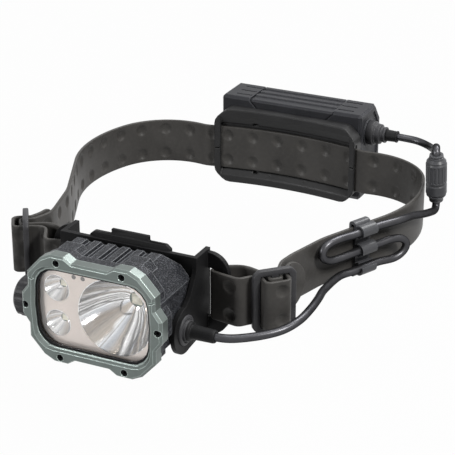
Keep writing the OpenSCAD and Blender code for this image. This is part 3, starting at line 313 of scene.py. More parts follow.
def moulded(name, colour, rough, grain_mm, depth_mm, edge=0.0, soft_mm=MOULDED_SOFT_MM, **fixed):
    """Moulded surface: mottling, fine grain in colour and relief, and edges lighter by edge, as wear
    and painted highlight.
    """
    f = Finish(name, **fixed)
    f.soften(soft_mm)
    slow = f.noise(MOTTLE_MM, detail=3)
    fine = f.noise(grain_mm)
    grains = f.spread(fine, 0, GRAIN_SHARE, start=0.4, end=0.75)
    ground = f.blend(f.spread(slow, 0, 1), tone(colour, 1 - MOTTLE), tone(colour, 1 + MOTTLE))
    ground = f.blend(grains, ground, tone(colour, GRAIN_TONE))
    # Edges lightened in worn patches: partly wear, partly a painted highlight along the edges
    if edge:
        wear_and_highlight = f.add("ShaderNodeMath", operation="MULTIPLY")
        f.feed(f.edges(EDGE_WEAR_AND_HIGHLIGHT_MM), wear_and_highlight.inputs[0])
        f.feed(f.spread(f.noise(WORN_PATCH_MM, detail=3), LEAST_WEAR, 1.0), wear_and_highlight.inputs[1])
        ground = f.blend(wear_and_highlight.outputs[0], ground, tone(colour, 1 + edge))
    f.bump(fine, depth_mm)
    return f.done(ground, f.spread(slow, rough - SMOOTHER, rough + ROUGHER))


def anodised():
    """Grey-green anodised aluminium: satin, faintly grained, and pale along its edges, as wear and a
    painted highlight.
    """
    f = Finish("bezel_metal", Metallic=0.85)
    f.soften(0.4)
    colour = (0.155, 0.180, 0.171)
    fine = f.noise(0.25)
    slow = f.noise(9, detail=3)
    ground = f.blend(f.spread(slow, 0, 1), tone(colour, 0.92), tone(colour, 1.08))
    ground = f.blend(f.spread(fine, 0, 0.3), ground, tone(colour, 0.75))
    # Painted highlight along the edges, which also stands for wear
    ground = f.blend(f.edges(0.55), ground, tone(colour, 3.6))
    f.bump(fine, 0.008)
    return f.done(ground, f.spread(fine, 0.34, 0.46))


def cast_black():
    """Black anodised casting with a sandy surface: painted glints on its grains, and edges lighter
    from wear and a painted highlight.
    """
    f = Finish("housing_metal", Metallic=0.15, Specular_IOR_Level=0.12)
    f.soften(0.4)
    colour = (0.0065, 0.007, 0.0088)
    painted_glint = (0.16, 0.166, 0.185)
    wear_and_highlight = (0.20, 0.207, 0.22)
    sand = f.noise(0.36, detail=1)
    slow = f.noise(12)
    ground = f.blend(f.spread(slow, 0, 1), tone(colour, 0.85), tone(colour, 1.2))
    # Painted glints on the sand's grains
    ground = f.blend(f.spread(sand, 0, 1, start=0.56, end=0.70), ground, painted_glint)
    # Edges lighter, as wear and as a painted highlight
    ground = f.blend(f.edges(0.7), ground, wear_and_highlight)
    f.bump(sand, 0.06)
    return f.done(ground, f.spread(sand, 0.36, 0.55))


def strap_rubber():
    """Moulded rubber: warm dark grey, with a bloom that varies slowly and a fine skin."""
    f = Finish("strap_rubber", Specular_IOR_Level=0.16)
    colour = (0.046, 0.044, 0.0418)
    slow = f.noise(18, detail=3, stretch=(1, 1, 2))
    skin = f.noise(0.5, detail=3)
    bloom = f.spread(f.noise(2.2, detail=3), 0, 0.35, start=0.45, end=0.75)
    ground = f.blend(f.spread(slow, 0, 1), tone(colour, 0.82), tone(colour, 1.2))
    ground = f.blend(bloom, ground, tone(colour, 1.45))
    f.bump(skin, 0.012)
    return f.done(ground, f.spread(slow, 0.38, 0.48))


def sheath():
    """Smooth black lead sheath with a soft shine."""
    f = Finish("lead_sheath", Metallic=0.8, Specular_IOR_Level=0.1,
               Specular_Tint=(0, 0, 0, 1))
    dark, light = (0.056, 0.056, 0.060), (0.070, 0.070, 0.075)
    slow = f.noise(8, detail=3)
    ground = f.blend(f.spread(slow, 0, 1), dark, light)
    f.bump(f.noise(0.6), 0.006)
    return f.done(ground, f.spread(slow, 0.32, 0.38))


def satin_plate():
    """Warm satin metal of the reflector plate."""
    f = Finish("plate_metal", Metallic=0.55)
    colour = (0.78, 0.69, 0.63)
    slow = f.noise(16)
    fine = f.noise(0.3)
    ground = f.blend(f.spread(slow, 0, 1), tone(colour, 0.94), tone(colour, 1.05))
    ground = f.blend(f.spread(fine, 0, 0.25), ground, tone(colour, 0.88))
    f.bump(fine, 0.004)
    return f.done(ground, f.spread(fine, 0.36, 0.46))


# Tones of the painted reflection in a mirror cup
WHITE = (1.0, 1.0, 1.0)
SILVER = (0.66, 0.66, 0.67)
SKY = (0.70, 0.74, 0.80)
TAN = (0.50, 0.44, 0.375)
DARK = (0.05, 0.045, 0.04)
PAINTED_STREAK_TONE = (0.34, 0.31, 0.27)
# Painted reflection of each cup in bands: the angle in degrees at which a tone is reached, and the
# tone
SPOT_REFLECTION_BANDS = [(-180, WHITE), (-177, DARK), (-173, WHITE), (-158, SKY), (-148, TAN),
              (-128, TAN), (-120, WHITE), (-108, SILVER), (-98, TAN), (-92, DARK), (-86, WHITE),
              (-76, SILVER), (-70, DARK), (-66, WHITE), (-59, DARK), (-54, WHITE), (-47, DARK),
              (-42, WHITE), (-33, DARK), (-30, WHITE), (-20, SILVER), (10, TAN), (30, SILVER),
              (60, WHITE), (100, SKY), (125, WHITE), (152, WHITE), (162, WHITE)]
FLOOD_REFLECTION_BANDS = [(-180, SILVER), (-160, WHITE), (-140, SILVER), (-125, WHITE), (-100, SILVER),
               (-60, TAN), (-30, SILVER), (0, WHITE), (40, SILVER), (90, WHITE), (120, SILVER),
               (150, WHITE)]
# How far noise bends the bands, in radians, and how fine the painted streaks are, as cells in a
# radian
BAND_SWAY = 0.5
PAINTED_STREAK_CELLS = 14.0


def set_bands(ramp, bands):
    """Sets a ramp's stops to the bands, with a whole turn from 0 to 1."""
    stops = ramp.color_ramp.elements
    while len(stops) < len(bands):
        stops.new(0.5)
    for stop, (angle, colour) in zip(stops, bands):
        stop.position = (angle + 180) / 360
        stop.color = (*colour, 1)


def angle_about(f, centre_mm):
    """Angle about the axis along Y through a point, in radians."""
    shift = f.add("ShaderNodeVectorMath", operation="SUBTRACT")
    shift.inputs[1].default_value = [c * MM for c in centre_mm]
    f.feed(f.coord, shift.inputs[0])
    part = f.add("ShaderNodeSeparateXYZ")
    f.feed(shift.outputs[0], part.inputs[0])
    around = f.add("ShaderNodeMath", operation="ARCTAN2")
    f.feed(part.outputs["Z"], around.inputs[0])
    f.feed(part.outputs["X"], around.inputs[1])
    return around.outputs[0]


def mirror(name, centre_mm, bands, sway_mm, rough):
    """Bright metal with a painted reflection: bands of tone from the cup's middle for the room it
    mirrors.
    """
    f = Finish(name, Metallic=1.0)
    around = angle_about(f, centre_mm)
    sway = f.add("ShaderNodeMath", operation="MULTIPLY_ADD")
    f.feed(f.noise(sway_mm, detail=1), sway.inputs[0])
    sway.inputs[1].default_value = BAND_SWAY
    f.feed(around, sway.inputs[2])
    mean = BAND_SWAY / 2
    turn = f.spread(sway.outputs[0], 0, 1, start=mean - math.pi, end=mean + math.pi)
    ramp = f.add("ShaderNodeValToRGB")
    f.feed(turn, ramp.inputs[0])
    set_bands(ramp, bands)
    tex = f.add("ShaderNodeTexNoise", noise_dimensions="1D")
    f.feed(around, tex.inputs["W"])
    tex.inputs["Scale"].default_value = PAINTED_STREAK_CELLS
    tex.inputs["Detail"].default_value = 3
    ray = tex.outputs["Fac"]
    # Dark painted streaks of the reflection, along lines out from the cup's middle
    lines = f.spread(ray, 0, 0.5, start=0.54, end=0.66)
    ground = f.blend(lines, ramp.outputs[0], PAINTED_STREAK_TONE, how="MULTIPLY")
    return f.done(ground, f.spread(ray, rough, rough + 0.06))


def clear_lens():
    """Clear window: what is behind it shows, under a reflection that grows at a slant."""
    f = Finish("clear_lens", Metallic=1.0)
    haze = f.noise(20)
    mat = f.done((1, 1, 1), f.spread(haze, 0.015, 0.04))
    through = f.add("ShaderNodeBsdfTransparent")
    slant = f.add("ShaderNodeLayerWeight")
    slant.inputs["Blend"].default_value = 0.2
    mix = f.add("ShaderNodeMixShader")
    out = f.tree.nodes["Material Output"]
    f.feed(slant.outputs["Facing"], mix.inputs[0])
    f.feed(through.outputs[0], mix.inputs[1])
    f.feed(f.bsdf.outputs[0], mix.inputs[2])
    f.feed(mix.outputs[0], out.inputs["Surface"])
    return mat


def phosphor():
    """Pale yellow face of an emitter, under a clear coat."""
    f = Finish("led", Coat_Weight=0.6, Coat_Roughness=0.1)
    deep, pale = (0.84, 0.79, 0.55), (0.93, 0.90, 0.74)
    ground = f.blend(f.spread(f.pebbles(0.5), 0, 1, start=0.1, end=0.6), deep, pale)
    return f.done(ground, 0.4)


def circuit():
    """Green solder mask with traces under it."""
    f = Finish("board", Coat_Weight=0.3, Coat_Roughness=0.2)
    mask, trace = (0.02, 0.11, 0.055), (0.03, 0.16, 0.08)
    lines = f.noise(1.6, detail=0, stretch=(1, 6, 1))
    ground = f.blend(f.spread(lines, 0, 1, start=0.48, end=0.52), mask, trace)
    f.bump(lines, 0.03)
    return f.done(ground, 0.4)


def brushed(name, colour, rough):
    """Bare metal with hairlines along X."""
    f = Finish(name, Metallic=1.0)
    hair = f.noise(0.2, detail=3, stretch=(12, 1, 1))
    ground = f.blend(f.spread(hair, 0, 1), tone(colour, 0.85), tone(colour, 1.1))
    f.bump(hair, 0.006)
    return f.done(ground, f.spread(hair, rough - 0.06, rough + 0.08))


def foam():
    """Closed-cell foam: soft, with fine pores whose insides are painted dark as shade."""
    f = Finish("foam", Sheen_Weight=0.25, Sheen_Roughness=0.5, Specular_IOR_Level=0.25)
    dark, light, pore_shade = (0.018, 0.018, 0.019), (0.030, 0.030, 0.032), (0.006, 0.006, 0.006)
    pores = f.pebbles(0.9)
    slow = f.noise(9, detail=3)
    ground = f.blend(f.spread(slow, 0, 1), dark, light)
    # Painted shade in the pores
    ground = f.blend(f.spread(pores, 1, 0, start=0.05, end=0.3), ground, pore_shade)
    f.bump(pores, 0.12)
    f.bump(slow, 0.25)
    return f.done(ground, 0.85)


def cell_wrap():
    """Blue shrunk film on a cell."""
    f = Finish("cell_wrap", Coat_Weight=0.4, Coat_Roughness=0.15)
    deep, pale = (0.02, 0.09, 0.30), (0.035, 0.13, 0.40)
    slow = f.noise(10, stretch=(4, 1, 1))
    ground = f.blend(f.spread(slow, 0, 1), deep, pale)
    f.bump(slow, 0.03)
    return f.done(ground, 0.35)


# Plastic and rubber: colour, roughness, grain in mm, its depth in mm, and what else is set
# The edge value lightens edges, partly as wear and partly as a painted highlight
MOULDED = {
    "black_rubber": ((0.006, 0.006, 0.0065), 0.55, 0.6, 0.015,
                     {"edge": 6.0, "Specular_IOR_Level": 0.16}),
    "black_plastic": ((0.033, 0.033, 0.0355), 0.42, 0.4, 0.012,
                      {"edge": 1.5, "Specular_IOR_Level": 0.16}),
    "bracket_plastic": ((0.006, 0.006, 0.0063), 0.46, 0.5, 0.012,
                        {"edge": 3.4, "Specular_IOR_Level": 0.09}),
    "case_plastic": ((0.018, 0.0184, 0.021), 0.46, 0.5, 0.02,
                     {"edge": 3.2, "soft_mm": 0.9, "Specular_IOR_Level": 0.16}),
    "cradle_plastic": ((0.017, 0.017, 0.0175), 0.38, 0.5, 0.012,
                       {"edge": 0.6, "soft_mm": 1.6, "Specular_IOR_Level": 0.2}),
    "connector_rubber": ((0.045, 0.046, 0.050), 0.36, 0.4, 0.012,
                         {"edge": 1.5, "Specular_IOR_Level": 0.25}),
    "stud": ((0.016, 0.010, 0.007), 0.35, 0.4, 0.01, {}),
}
# Bare metal: colour and roughness
BRUSHED = {
    "black_screw": ((0.02, 0.02, 0.022), 0.4),
    "steel_screw": ((0.45, 0.45, 0.47), 0.35),
    "washer_steel": ((0.55, 0.54, 0.52), 0.35),
    "shaft_steel": ((0.55, 0.55, 0.57), 0.3),
    "contact_brass": ((0.75, 0.55, 0.2), 0.25),
    "spring_metal": ((0.62, 0.56, 0.42), 0.3),
    "socket_steel": ((0.55, 0.56, 0.58), 0.3),
}


def make_finishes():
    """Every finish but the mirror cups', by name. Most names are the record's slots."""
    finishes = {
        "bezel_metal": anodised(),
        "housing_metal": cast_black(),
        "clear_lens": clear_lens(),
        "strap_rubber": strap_rubber(),
        "plate_metal": satin_plate(),
        "led": phosphor(),
        "board": circuit(),
        "foam": foam(),
        "lead_sheath": sheath(),
        "cell_wrap": cell_wrap(),
    }
    for name, (colour, rough, grain_mm, depth_mm, more) in MOULDED.items():
        finishes[name] = moulded(name, colour, rough, grain_mm, depth_mm, **more)
    for name, (colour, rough) in BRUSHED.items():
        finishes[name] = brushed(name, colour, rough)
    return finishes


# Pieces ---------------------------------------------------------------------------------------
# Points of a CAD mesh that lie nearer than this, in metres, are joined before it is rounded
CAD_WELD = 1e-6
# Edges that turn by more degrees than this are rounded, with so many segments
ROUND_ANGLE = 32
ROUND_SEGMENTS = 2


def new_piece(name, bm, node, mat):
    """Turns bm into a piece that rides with node's body and stands for node."""
    mesh = bpy.data.meshes.new(name)
    bmesh.ops.recalc_face_normals(bm, faces=bm.faces)
    bm.to_mesh(mesh)
    bm.free()
    for face in mesh.polygons:
        face.use_smooth = True
    mesh.materials.append(mat)
    piece = bpy.data.objects.new(name, mesh)
    bpy.context.collection.objects.link(piece)
    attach(piece, BODY_OF[node])
    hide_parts(node)
    return piece


def rounded(node, width_mm, mat):
    """Copy of a CAD node with its sharp edges rounded, which stands for the node."""
    bm = bmesh.new()
    bm.from_mesh(NODES[node].data)
    bmesh.ops.remove_doubles(bm, verts=bm.verts, dist=CAD_WELD)
    piece = new_piece(node + "_body", bm, node, mat)
    bevel = piece.modifiers.new("rounded", "BEVEL")
    bevel.width = width_mm * MM
    bevel.segments = ROUND_SEGMENTS
    bevel.limit_method = "ANGLE"
    bevel.angle_limit = math.radians(ROUND_ANGLE)
    bevel.use_clamp_overlap = True
    bevel.harden_normals = True


def bridge_rings(bm, rings, cap=True):
    """Joins rings that have as many points each with quads, and closes both ends with cap."""
    loops = [[bm.verts.new(p) for p in ring] for ring in rings]
    n = len(loops[0])
    for a, b in zip(loops, loops[1:]):
        for i in range(n):
            j = (i + 1) % n
            bm.faces.new((a[i], a[j], b[j], b[i]))
    if cap:
        bm.faces.new(loops[0][::-1])
        bm.faces.new(loops[-1])


# Strap ----------------------------------------------------------------------------------------
STRAP_T = 1.8
STRAP_HALF_W = 14.0
STRAP_EDGE = 0.55
HALF_T = STRAP_T / 2
# Degrees at which the strap's rounded edges have points
EDGE_TURNS = (30, 60, 90)
DIMPLE_R = 3.8
DIMPLE_DEPTH = 1.35
# A dimple's bowl is a paraboloid at 1, and has a flatter floor and steeper sides below 1
DIMPLE_FORM = 0.95
# Height of the two rows of dimples, above and below the strap's middle
DIMPLE_Z = 8.2
# Places of the dimples along the strap, from its right end
DIMPLES_AT = (
    [21.0 + 16.6 * k for k in range(7)]
    + [145.9 + 16.9 * k for k in range(14)]
    + [382.4, 399.3, 416.2, 433.1, 449.5]
    + [459.9 + 16.15 * k for k in range(14)]
    + [695.5 + 16.5 * k for k in range(8)]
)
# Share of its full height above which the strap has dimples, as its ends are plain
DIMPLED_SHARE = 0.9
# Lengthwise lines: their pitch across a row of dimples, how many lie on each side of the row's
# middle, and how far off the strap's middle the two plain ones between the rows lie
COLUMN_PITCH = 0.5
COLUMNS = 8
MIDDLE_COLUMN = 1.4
# The plain side has one lengthwise line for so many on the dimpled side
PLAIN_EVERY = 3
# Round corners and straight runs: most degrees and most millimetres between points
ARC_STEP = 9
CHORD = 1.8
PATH_PITCH = 0.6
# Points nearer than this are one, and corners of fewer degrees aren't rounded
SAME_POINT = 1e-4
LEAST_TURN = 1
# Degrees between rows round the strap's ends, and the least distance between rows there
END_STEP = 4
LEAST_ROW = 0.03
# The strap's way through a buckle: places along the buckle, and heights off its outer face
STRAP_GAP = 0.3
BUCKLE_T = 3.2
SLOT_LANE = 3.2
RAIL_LANE = 6.8
BEHIND = -BUCKLE_T - STRAP_GAP - HALF_T - 0.2
OVER_BAR = STRAP_GAP + HALF_T + 0.15
BULGE = 5.5
# Radius of a tight corner of the strap
TIGHT = 1.5
# Each buckle's middle and the degrees by which it is turned; the left one is mirrored later
RIGHT_BUCKLE, RIGHT_TURN = (76.5, -91.0), 45
LEFT_BUCKLE, LEFT_TURN = (78.9, -86.6), 58
# The bracket's flange: its outer front corner, its thickness and the strap's lane through it
FLANGE_X = 40.5
FLANGE_Y = -96.7
FLANGE_T = 3.0
FLANGE_LANE = 43.2
FLANGE_CLEAR = STRAP_GAP + HALF_T + 0.2
FLANGE_R = 1.8
# Half the width of the ring round the head
HEAD_HALF_W = 113
# The cradle: its back and radius, and the arc of radius LANE_R that the strap takes through it,
# out to LANE_X on both sides
CRADLE_BACK = 97.2
CRADLE_R = 215.0
LANE_X = 48.0
LANE_R = 218.1
LANE_DEEP = math.sqrt(LANE_R ** 2 - LANE_X ** 2)
LANE_Y = CRADLE_BACK - CRADLE_R + LANE_DEEP
LANE_TOP = LANE_Y + LANE_X * LANE_X / LANE_DEEP


def off_flange(x, y, r):
    """Way-point of radius r at x and y from the flange's outer front corner."""
    return (FLANGE_X + x, FLANGE_Y + y, r)


def in_buckle(at, turn, u, n, r):
    """Way-point of radius r, u along a buckle and n out of its outer face."""
    c, s = math.cos(math.radians(turn)), math.sin(math.radians(turn))
    return (at[0] + u * c + n * s, at[1] + u * s - n * c, r)


def side_way(at, turn, tail, front, back, temple):
    """Way-points of one side, from the tail's end through buckle and flange to the temple."""
    return (
        tail
        + [in_buckle(at, turn, RAIL_LANE, BEHIND, TIGHT), in_buckle(at, turn, RAIL_LANE, BULGE, 3),
           in_buckle(at, turn, -RAIL_LANE, BULGE, 3), in_buckle(at, turn, -RAIL_LANE, BEHIND, TIGHT)]
        + front
        + [(FLANGE_LANE, FLANGE_Y - FLANGE_CLEAR, FLANGE_R),
           (FLANGE_LANE, FLANGE_Y + FLANGE_T + FLANGE_CLEAR, FLANGE_R)]
        + back
        + [in_buckle(at, turn, -SLOT_LANE, BEHIND - 1.2, 4),
           in_buckle(at, turn, -SLOT_LANE, OVER_BAR, TIGHT),
           in_buckle(at, turn, SLOT_LANE, OVER_BAR, TIGHT),
           in_buckle(at, turn, SLOT_LANE, BEHIND - 1.2, 5)]
        + temple
    )


def mirrored(way):
    """The same way on the other side, run through backwards."""
    return [(-x, y, r) for x, y, r in reversed(way)]


def strap_way():
    """Way-points of the whole strap, as in part.scad: x, y and the corner's radius."""
    right = side_way(
        RIGHT_BUCKLE, RIGHT_TURN,
        [off_flange(39, 36.7, 0), off_flange(35.3, 22.7, 16)],
        [off_flange(23.8, 0.7, 3), off_flange(19.5, -4.5, 4), off_flange(10.5, -2.9, 6)],
        [off_flange(15.5, 11.7, 12)], [off_flange(31, 24.7, 14)])
    left = side_way(
        LEFT_BUCKLE, LEFT_TURN,
        [off_flange(37.7, 40.7, 0), off_flange(35.1, 26.7, 16)],
        [off_flange(23, 9.9, 5), off_flange(15, -5.3, 4), off_flange(8.5, -2.7, 6)],
        [off_flange(21.5, 16.2, 12)], [off_flange(31, 26.7, 14)])
    crown = [off_flange(32.5, 34.7, 30), off_flange(39.5, 60.7, 60), (HEAD_HALF_W, 36, 80),
             (HEAD_HALF_W - 23, 98, 40), (LANE_X + 6, LANE_Y - 1.4, 16)]
    return right + crown + [(0, LANE_TOP, LANE_R)] + mirrored(crown) + mirrored(left)


def round_corner(before, corner, after, r):
    """Points of the arc of radius r that rounds a corner."""
    a, b, c = (Vector(p[:2]) for p in (before, corner, after))
    u, v = (b - a).normalized(), (c - b).normalized()
    turn = math.atan2(u.x * v.y - u.y * v.x, u.dot(v))
    if not r or abs(turn) < math.radians(LEAST_TURN):
        return [b]
    side = 1 if turn > 0 else -1
    start = b - u * (r * math.tan(abs(turn) / 2))
    hub = start + side * r * Vector((-u.y, u.x))
    arm = start - hub
    n = max(2, math.ceil(abs(turn) / math.radians(ARC_STEP)), math.ceil(abs(turn) * r / CHORD))
    return [hub + Matrix.Rotation(turn * i / n, 2) @ arm for i in range(n + 1)]


def strap_path():
    """Middle line of the strap, as (distance along, point), close enough together for dimples."""
    way = strap_way()
    line = [Vector(way[0][:2])]
    for a, b, c in zip(way, way[1:], way[2:]):
        line += round_corner(a, b, c, b[2])
    line.append(Vector(way[-1][:2]))
    path = [(0.0, line[0])]
    for a, b in zip(line, line[1:]):
        length = (b - a).length
        if length < SAME_POINT:
            continue
        n = max(1, math.ceil(length / PATH_PITCH))
        start = path[-1][0]
        path += [(start + length * i / n, a.lerp(b, i / n)) for i in range(1, n + 1)]
    return path


def end_rows(path):
    """Adds rows near both ends, where the outline turns round the end."""
    total = path[-1][0]
    extra = [STRAP_HALF_W * (1 - math.cos(math.radians(g))) for g in range(END_STEP, 90, END_STEP)]
    wanted = sorted(extra + [total - s for s in extra])
    rows, k = [], 0
    for (sa, a), (sb, b) in zip(path, path[1:]):
        rows.append((sa, a))
        while k < len(wanted) and wanted[k] < sb:
            if wanted[k] - sa > LEAST_ROW and sb - wanted[k] > LEAST_ROW:
                rows.append((wanted[k], a.lerp(b, (wanted[k] - sa) / (sb - sa))))
            k += 1
    rows.append(path[-1])
    return [r for r in rows if LEAST_ROW < r[0] < total - LEAST_ROW]


def strap_columns():
    """Heights of the strap's lengthwise lines on its dimpled side, close together on the rows."""
    edge = STRAP_HALF_W - STRAP_EDGE
    cols = [DIMPLE_Z + COLUMN_PITCH * i for i in range(-COLUMNS, COLUMNS + 1)] + [MIDDLE_COLUMN]
    cols = sorted([-c for c in cols] + cols)
    return [-edge] + cols + [edge]


def dimple(s, z):
    """How deep the dimpled surface lies at s along the strap and z up."""
    best = 0.0
    for centre in DIMPLES_AT:
        if abs(s - centre) < DIMPLE_R:
            rho = ((s - centre) ** 2 + (abs(z) - DIMPLE_Z) ** 2) / DIMPLE_R ** 2
            if rho < 1:
                best = max(best, DIMPLE_DEPTH * (1 - rho) ** DIMPLE_FORM)
    return best


def strap_section(s, dimpled, cols):
    """Outline across the strap at s, as (distance off its middle, height)."""
    bends = [(HALF_T - STRAP_EDGE + STRAP_EDGE * math.cos(g), STRAP_EDGE * math.sin(g))
             for g in map(math.radians, EDGE_TURNS)]
    ring = [(HALF_T - (dimple(s, z) if dimpled else 0), z) for z in cols]
    ring += [(n, cols[-1] + z) for n, z in bends]
    ring += [(-n, cols[-1] + z) for n, z in reversed(bends)]
    ring += [(-HALF_T, z) for z in reversed(cols[::PLAIN_EVERY])]
    ring += [(-n, cols[0] - z) for n, z in bends]
    ring += [(n, cols[0] - z) for n, z in reversed(bends)]
    return ring


def make_strap(mat):
    """One moulded band with dimples on the side that faces the head."""
    cols = strap_columns()
    whole = strap_path()
    total = whole[-1][0]
    path = end_rows(whole)
    rings = []
    for i, (s, p) in enumerate(path):
        before, after = path[max(i - 1, 0)][1], path[min(i + 1, len(path) - 1)][1]
        along = (after - before).normalized()
        across = Vector((-along.y, along.x))
        from_end = min(s, total - s, STRAP_HALF_W)
        share = math.sqrt(STRAP_HALF_W ** 2 - (STRAP_HALF_W - from_end) ** 2) / STRAP_HALF_W
        rings.append([(MM * (p.x + n * across.x), MM * (p.y + n * across.y), MM * z * share)
                      for n, z in strap_section(s, share > DIMPLED_SHARE, cols)])
    bm = bmesh.new()
    bridge_rings(bm, rings)
    new_piece("strap_band", bm, "strap", mat)


# Leads ----------------------------------------------------------------------------------------
LEAD_R = 2.25
LEAD_SIDES = 24
LEAD_PITCH = 0.8
# Way that the first ring's first point lies off the route, before it is squared to the route
FIRST_SIDE = Vector((0, 0.3, 1))
SPLINE_STEPS = 16
# Easing of a route: its rounds, the furthest that it moves a point, and the points at each end
# over which it grows from nothing
EASE_ROUNDS = 12
EASE_REACH = 1.2
EASE_ENDS = 6
TINY = 1e-6
# The clip's middle, the temple's direction there, and how far out and how high the clip's three
# runs of the lead lie
CLIP_AT = (91.69, -10.54)
CLIP_DIR = (0.41664, 0.90907)
GRIP = 5.35
LOW, MID, TOP = -9.8, 1.4, 12.4
# The connector's middle and axis
PLUG_AT = Vector((114, 52, 22.8))
PLUG_LEAN = math.radians(8)
PLUG_AXIS = Vector((0, -math.sin(PLUG_LEAN), math.cos(PLUG_LEAN)))


def by_clip(s, out, z):
    """Point s along the temple from the clip's middle, out from the strap's middle, at z."""
    return (CLIP_AT[0] + s * CLIP_DIR[0] + out * CLIP_DIR[1],
            CLIP_AT[1] + s * CLIP_DIR[1] - out * CLIP_DIR[0], z)


def on_plug(d):
    """Point d above the connector's middle on its axis."""
    return tuple(PLUG_AT + d * PLUG_AXIS)


# The routes are those of part.scad
LAMP_ROUTE = [
    (35.2, -122.5, -10.4), (46, -122.5, -10.4), (57.7, -122.5, -10.4), (60.2, -122.5, -10.4),
    (67, -119.6, -10.6), (78, -112, -10), (86.5, -103, -9), (91, -92, -7.5), (91.5, -78, -7),
    (90, -64, -7.5), (88, -52, -8.5),
    by_clip(-20, GRIP, -9.6), by_clip(-10, GRIP, LOW), by_clip(0, GRIP, LOW),
    by_clip(10, GRIP, LOW), by_clip(21, GRIP + 1, -10.6), by_clip(27.5, GRIP + 1.6, -8.6),
    by_clip(30.5, GRIP + 2, -4.4), by_clip(27.5, GRIP + 1.6, -0.2), by_clip(20, GRIP + 0.6, 1.6),
    by_clip(10, GRIP, MID), by_clip(0, GRIP, MID), by_clip(-10, GRIP, MID),
    by_clip(-24, GRIP, 1.4), by_clip(-30.5, GRIP, 3.4), by_clip(-33.6, GRIP, 7.8),
    by_clip(-30, GRIP, 12), by_clip(-21, GRIP, 13), by_clip(-10, GRIP, TOP),
    by_clip(0, GRIP, TOP), by_clip(10, GRIP, TOP), by_clip(24, GRIP + 1.2, 12),
    (110.8, 24.4, 9.2), (112.8, 34, 6.6), (114.2, 44, 4.2), (114.6, 51.6, 2.9),
    on_plug(-17), on_plug(-15), on_plug(-13)]
BATTERY_ROUTE = [
    on_plug(13), on_plug(15), (113.5, 50.6, 40), (112.2, 54.6, 40.2), (109.9, 61, 37.4),
    (106.5, 71, 32.4), (103, 80, 28.4), (99.7, 89, 24.6), (96.4, 98, 21), (92.8, 106.5, 18),
    (88.2, 113.6, 16.2), (82.9, 117.8, 15.8), (77.4, 119.2, 16.2), (72.5, 118.6, 16.6),
    (68.7, 118, 17), (66.5, 118, 17), (63.5, 118, 17)]


def spline(route):
    """Smooth curve through the route's points, with SPLINE_STEPS steps between neighbours."""
    p = [Vector(q) for q in route]
    out = []
    for i in range(len(p) - 1):
        a, b, c, d = p[max(i - 1, 0)], p[i], p[i + 1], p[min(i + 2, len(p) - 1)]
        m1, m2 = (c - a) / 2, (d - b) / 2
        for t in (j / SPLINE_STEPS for j in range(SPLINE_STEPS)):
            out.append(b * (2 * t ** 3 - 3 * t * t + 1) + c * (3 * t * t - 2 * t ** 3)
                       + m1 * (t ** 3 - 2 * t * t + t) + m2 * (t ** 3 - t * t))
    return out + [p[-1]]


def evenly(line):
    """The same line with its points about LEAD_PITCH apart."""
    reach = [0.0]
    for a, b in zip(line, line[1:]):
        reach.append(reach[-1] + (b - a).length)
    count = round(reach[-1] / LEAD_PITCH)
    out, k = [line[0]], 0
    for i in range(1, count):
        s = reach[-1] * i / count
        while reach[k + 1] < s:
            k += 1
        out.append(line[k].lerp(line[k + 1], (s - reach[k]) / (reach[k + 1] - reach[k])))
    return out + [line[-1]]


def eased(line):
    """Takes the small waves out of a line, and moves no point further than EASE_REACH."""
    smooth = line
    for _ in range(EASE_ROUNDS):
        inner = [(a + 2 * b + c) / 4 for a, b, c in zip(smooth, smooth[1:], smooth[2:])]
        smooth = [smooth[0]] + inner + [smooth[-1]]
    out = []
    for i, (a, b) in enumerate(zip(line, smooth)):
        share = min(1, i / EASE_ENDS, (len(line) - 1 - i) / EASE_ENDS)
        move = (b - a) * share
        out.append(a + move * min(1, EASE_REACH / max(move.length, TINY)))
    return out


def make_lead(name, node, route, mat):
    """Round tube along a route, whose rings follow one another without twisting."""
    line = eased(evenly(spline(route)))
    side = FIRST_SIDE
    rings = []
    for i, p in enumerate(line):
        along = (line[min(i + 1, len(line) - 1)] - line[max(i - 1, 0)]).normalized()
        side = (side - along * side.dot(along)).normalized()
        other = along.cross(side)
        rings.append([MM * (p + LEAD_R * (side * math.cos(g) + other * math.sin(g)))
                      for g in (math.tau * j / LEAD_SIDES for j in range(LEAD_SIDES))])
    bm = bmesh.new()
    bridge_rings(bm, rings)
    new_piece(name, bm, node, mat)


# Forehead pad ---------------------------------------------------------------------------------
PAD_HALF_W = 30.6
PAD_HALF_H = 19.6
PAD_CORNER = 5.0
PAD_LEAST_CORNER = 0.4
PAD_FRONT_Y = -104.4
PAD_MIN_T = 4.0
# Radius of the hollow towards the forehead
PAD_R = 110.0
# How far the rim's roundness reaches inwards, and how far the pad is tucked in at its front
PAD_SOFT = 3.2
PAD_TUCK = 1.2
# How much lower the back is near the rim, at the pad's middle, and how many times as wide as the
# rim's roundness that slope is
PAD_CROWN = 0.35
CROWN_WIDER = 3
# How many times narrower the front's roundness is than the back's
FRONT_NARROWER = 2
PAD_INSETS = (0, 0.15, 0.5, 1.0, 1.7, 2.5, 3.4, 5, 7, 9.5, 12, 14.5, 17, 19)
PAD_ARC_STEPS = 12
PAD_SIDE_STEPS = (0.2, 0.4, 0.6, 0.8)
# Joins points that lie nearer than this, in metres
PAD_WELD = 1e-5


